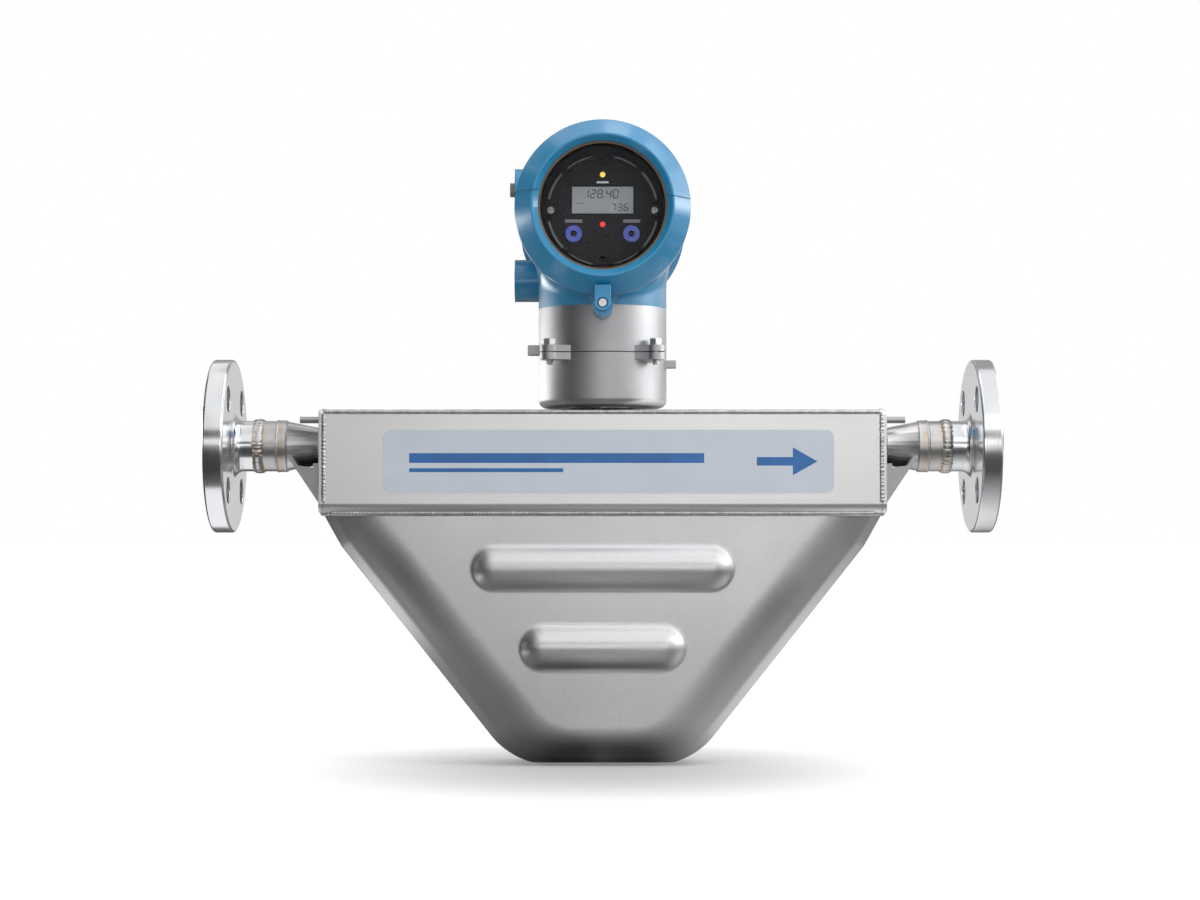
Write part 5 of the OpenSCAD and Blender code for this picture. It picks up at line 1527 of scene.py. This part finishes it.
def ring_wall(radius, low, high, columns=180):
    """A cylinder wall about the Z axis, open at the top and bottom."""
    turn = full_turn(columns)
    circle = np.stack([radius * np.cos(turn), radius * np.sin(turn)], 1)
    points = [(x, y, z) for z in (low, high) for x, y in circle]
    return points, grid_faces(2, columns, closed_cols=True)


floor_paint, t, shader, place = glowing("floor_paint", 0.40, 1.0)
shader.inputs["Emission Color"].default_value = (1, 1, 1, 1)
shifted = t.add("VectorMath", operation="ADD", i0=place, i1=(0.0, 0.06, 0.0)).outputs[0]
away = t.add("VectorMath", operation="LENGTH", i0=shifted).outputs["Value"]
glow = t.add(
    "MapRange",
    Value=away,
    From_Min=0.02,
    From_Max=0.30,
    To_Min=0.16,
    To_Max=0.85,
    interpolation_type="SMOOTHSTEP",
)
t.put(shader.inputs["Emission Strength"], t.math("MULTIPLY", reflected(t), glow.outputs[0]))
stage_mesh("studio_floor", *rectangle((0, 0, 0), (30, 0, 0), (0, 30, 0)), floor_paint)
print("room ready:", world.name, "and", floor_paint.name)

# %% [markdown]
# The greys below are read along the compass: -90 is the left side, 0 the front,
# 90 the right side and 180 the rear. The middle and the low ring have the most
# stops, because the bright flanges and the swelling case mirror them.

# %% Hang the rings, the table and the flat cards
sky_stops = [
    (-180, 0.40), (-140, 0.3), (-110, 0.05), (-60, 0.04), (-40, 0.2), (-20, 0.9), (0, 1.5),
    (30, 1.5), (60, 1.8), (90, 2.4), (135, 1.5), (155, 0.35), (180, 0.45),
]
high_stops = [
    (-180, 0.35), (-150, 0.1), (-120, 0.03), (-60, 0.03), (-20, 0.08), (8, 0.10),
    (18, 0.35), (34, 0.9), (52, 1.6), (66, 4.0), (78, 9.0), (98, 9.0), (114, 3.0),
    (138, 2.6), (157, 0.4), (180, 0.66),
]
cover_stops = [
    (-180, 0.3), (-150, 0.1), (-120, 0.04), (-60, 0.04), (-20, 0.08), (8, 0.10),
    (20, 0.3), (45, 0.7), (70, 0.75), (106, 0.6), (135, 0.8), (157, 0.5), (180, 0.66),
]
middle_stops = [
    (-180, 0.66), (-172, 0.66), (-158, 1.8), (-130, 6.5), (-108, 6.0), (-92, 1.8),
    (-84, 0.5), (-72, 0.12), (-45, 0.12), (-32, 0.6), (-17, 1.25), (2, 1.95), (13, 2.3),
    (19, 1.1), (30, 1.0), (52, 0.9), (70, 0.25), (106, 0.15), (150, 0.40), (162, 0.9),
    (172, 0.66), (180, 0.66),
]
low_stops = [
    (-180, 0.66), (-172, 0.66), (-160, 1.0), (-110, 0.6), (-80, 0.25), (-60, 0.06),
    (-34, 0.06), (-20, 0.12), (-11, 0.40), (-2, 1.5), (12, 1.75), (18, 0.6), (38, 0.5),
    (70, 0.9), (110, 0.9), (160, 1.0), (172, 0.66), (180, 0.66),
]
foot_stops = [(a, 0.35 * v) for a, v in low_stops]
table_stops = [
    (-180, 0.5), (-125, 0.25), (-84, 0.25), (-72, 0.2), (-45, 0.15), (-20, 0.20), (0, 0.48),
    (25, 0.26), (45, 0.24), (68, 0.55), (90, 0.9), (120, 0.8), (180, 0.5),
]
# The table's dark middle is a painted shadow: the meter's own shadow on the floor, as the surfaces that face
# down see it.
table_fade = [(0.0, 0.1), (0.04, 0.1), (0.10, 1.0), (0.24, 1.0), (0.42, 0.30), (1.30, 0.30)]
for name, low, high, gain, stops in (
    ("sky_ring", 0.62, 1.15, 5.0, sky_stops),
    ("high_ring", 0.44, 0.62, 10.0, high_stops),
    ("cover_ring", 0.37, 0.44, 1.0, cover_stops),
    ("middle_ring", 0.20, 0.37, 7.0, middle_stops),
    ("low_ring", 0.06, 0.20, 2.0, low_stops),
    ("foot_ring", 0.004, 0.06, 1.0, foot_stops),
):
    wall = ring_wall(ring_radius, low, high)
    stage_mesh(name, *wall, ring_card(name + "_card", stops, gain), hidden=True)
table = rectangle((0, 0, 0.002), (1.28, 0, 0), (0, 1.28, 0))
table_card = ring_card("table_card", table_stops, 1.0, table_fade)
stage_mesh("table", *table, table_card, hidden=True)

# Each row holds the card's name, its material's name, its middle, half its width,
# half its depth and its grey.
flat_cards = [
    ("left_glow", "left_glow_card", (-0.27, 0.0, 0.003), 0.06, 0.15, 1.0),
    ("overhead_card", "overhead_card_white", (0.62, 0.20, 1.30), 0.60, 0.20, 2.4),
    ("ceiling_card", "ceiling_card_white", (0.42, -0.48, 1.30), 0.54, 0.50, 1.6),
    ("rim_card", "rim_card_grey", (0.42, -0.19, 1.27), 0.13, 0.79, 0.90),
    ("left_dark_card", "left_dark_grey", (-0.96, -0.30, 1.28), 0.34, 0.90, 0.12),
    ("middle_dark_card", "middle_dark_grey", (-0.22, -0.45, 1.28), 0.09, 0.45, 0.15),
    ("rear_card", "rear_card_grey", (0.30, 0.90, 1.28), 0.70, 0.46, 0.35),
]
for name, card_name, middle, half_width, half_depth, level in flat_cards:
    card = rectangle(middle, (half_width, 0, 0), (0, half_depth, 0))
    stage_mesh(name, *card, grey_card(card_name, level), hidden=True)
print("flat cards:", [row[0] for row in flat_cards])

# %% [markdown]
# Three softboxes light the matt surfaces: a strong one high at the right, a weak
# one overhead, and a low wide one in front. None of them shows in the metal,
# because the cards already decide what the metal reflects.


# %% Lamps
def softbox(name, place, aim, size, radiance):
    """A rectangular lamp whose face has a given brightness: its power is the
    brightness times pi times its area. Reflections don't show it."""
    data = bpy.data.lights.new(name, "AREA")
    data.shape = "RECTANGLE"
    data.size, data.size_y = size
    data.energy = radiance * math.pi * size[0] * size[1]
    lamp = bpy.data.objects.new(name, data)
    lamp.location = place
    direction = Vector(aim) - Vector(place)
    lamp.rotation_euler = direction.to_track_quat("-Z", "Y").to_euler()
    lamp.visible_glossy = False
    scene.collection.objects.link(lamp)


softbox("key", (0.75, -0.45, 1.00), (0.0, 0.0, 0.30), (0.8, 0.8), 3.2)
softbox("top_fill", (-0.10, -0.30, 1.30), (0.0, 0.0, 0.20), (1.2, 0.8), 0.6)
softbox("low_fill", (0.20, -1.30, 0.20), (0.0, 0.0, 0.33), (0.9, 0.36), 2.4)
scene.view_settings.view_transform = "Standard"
print("stage ready")
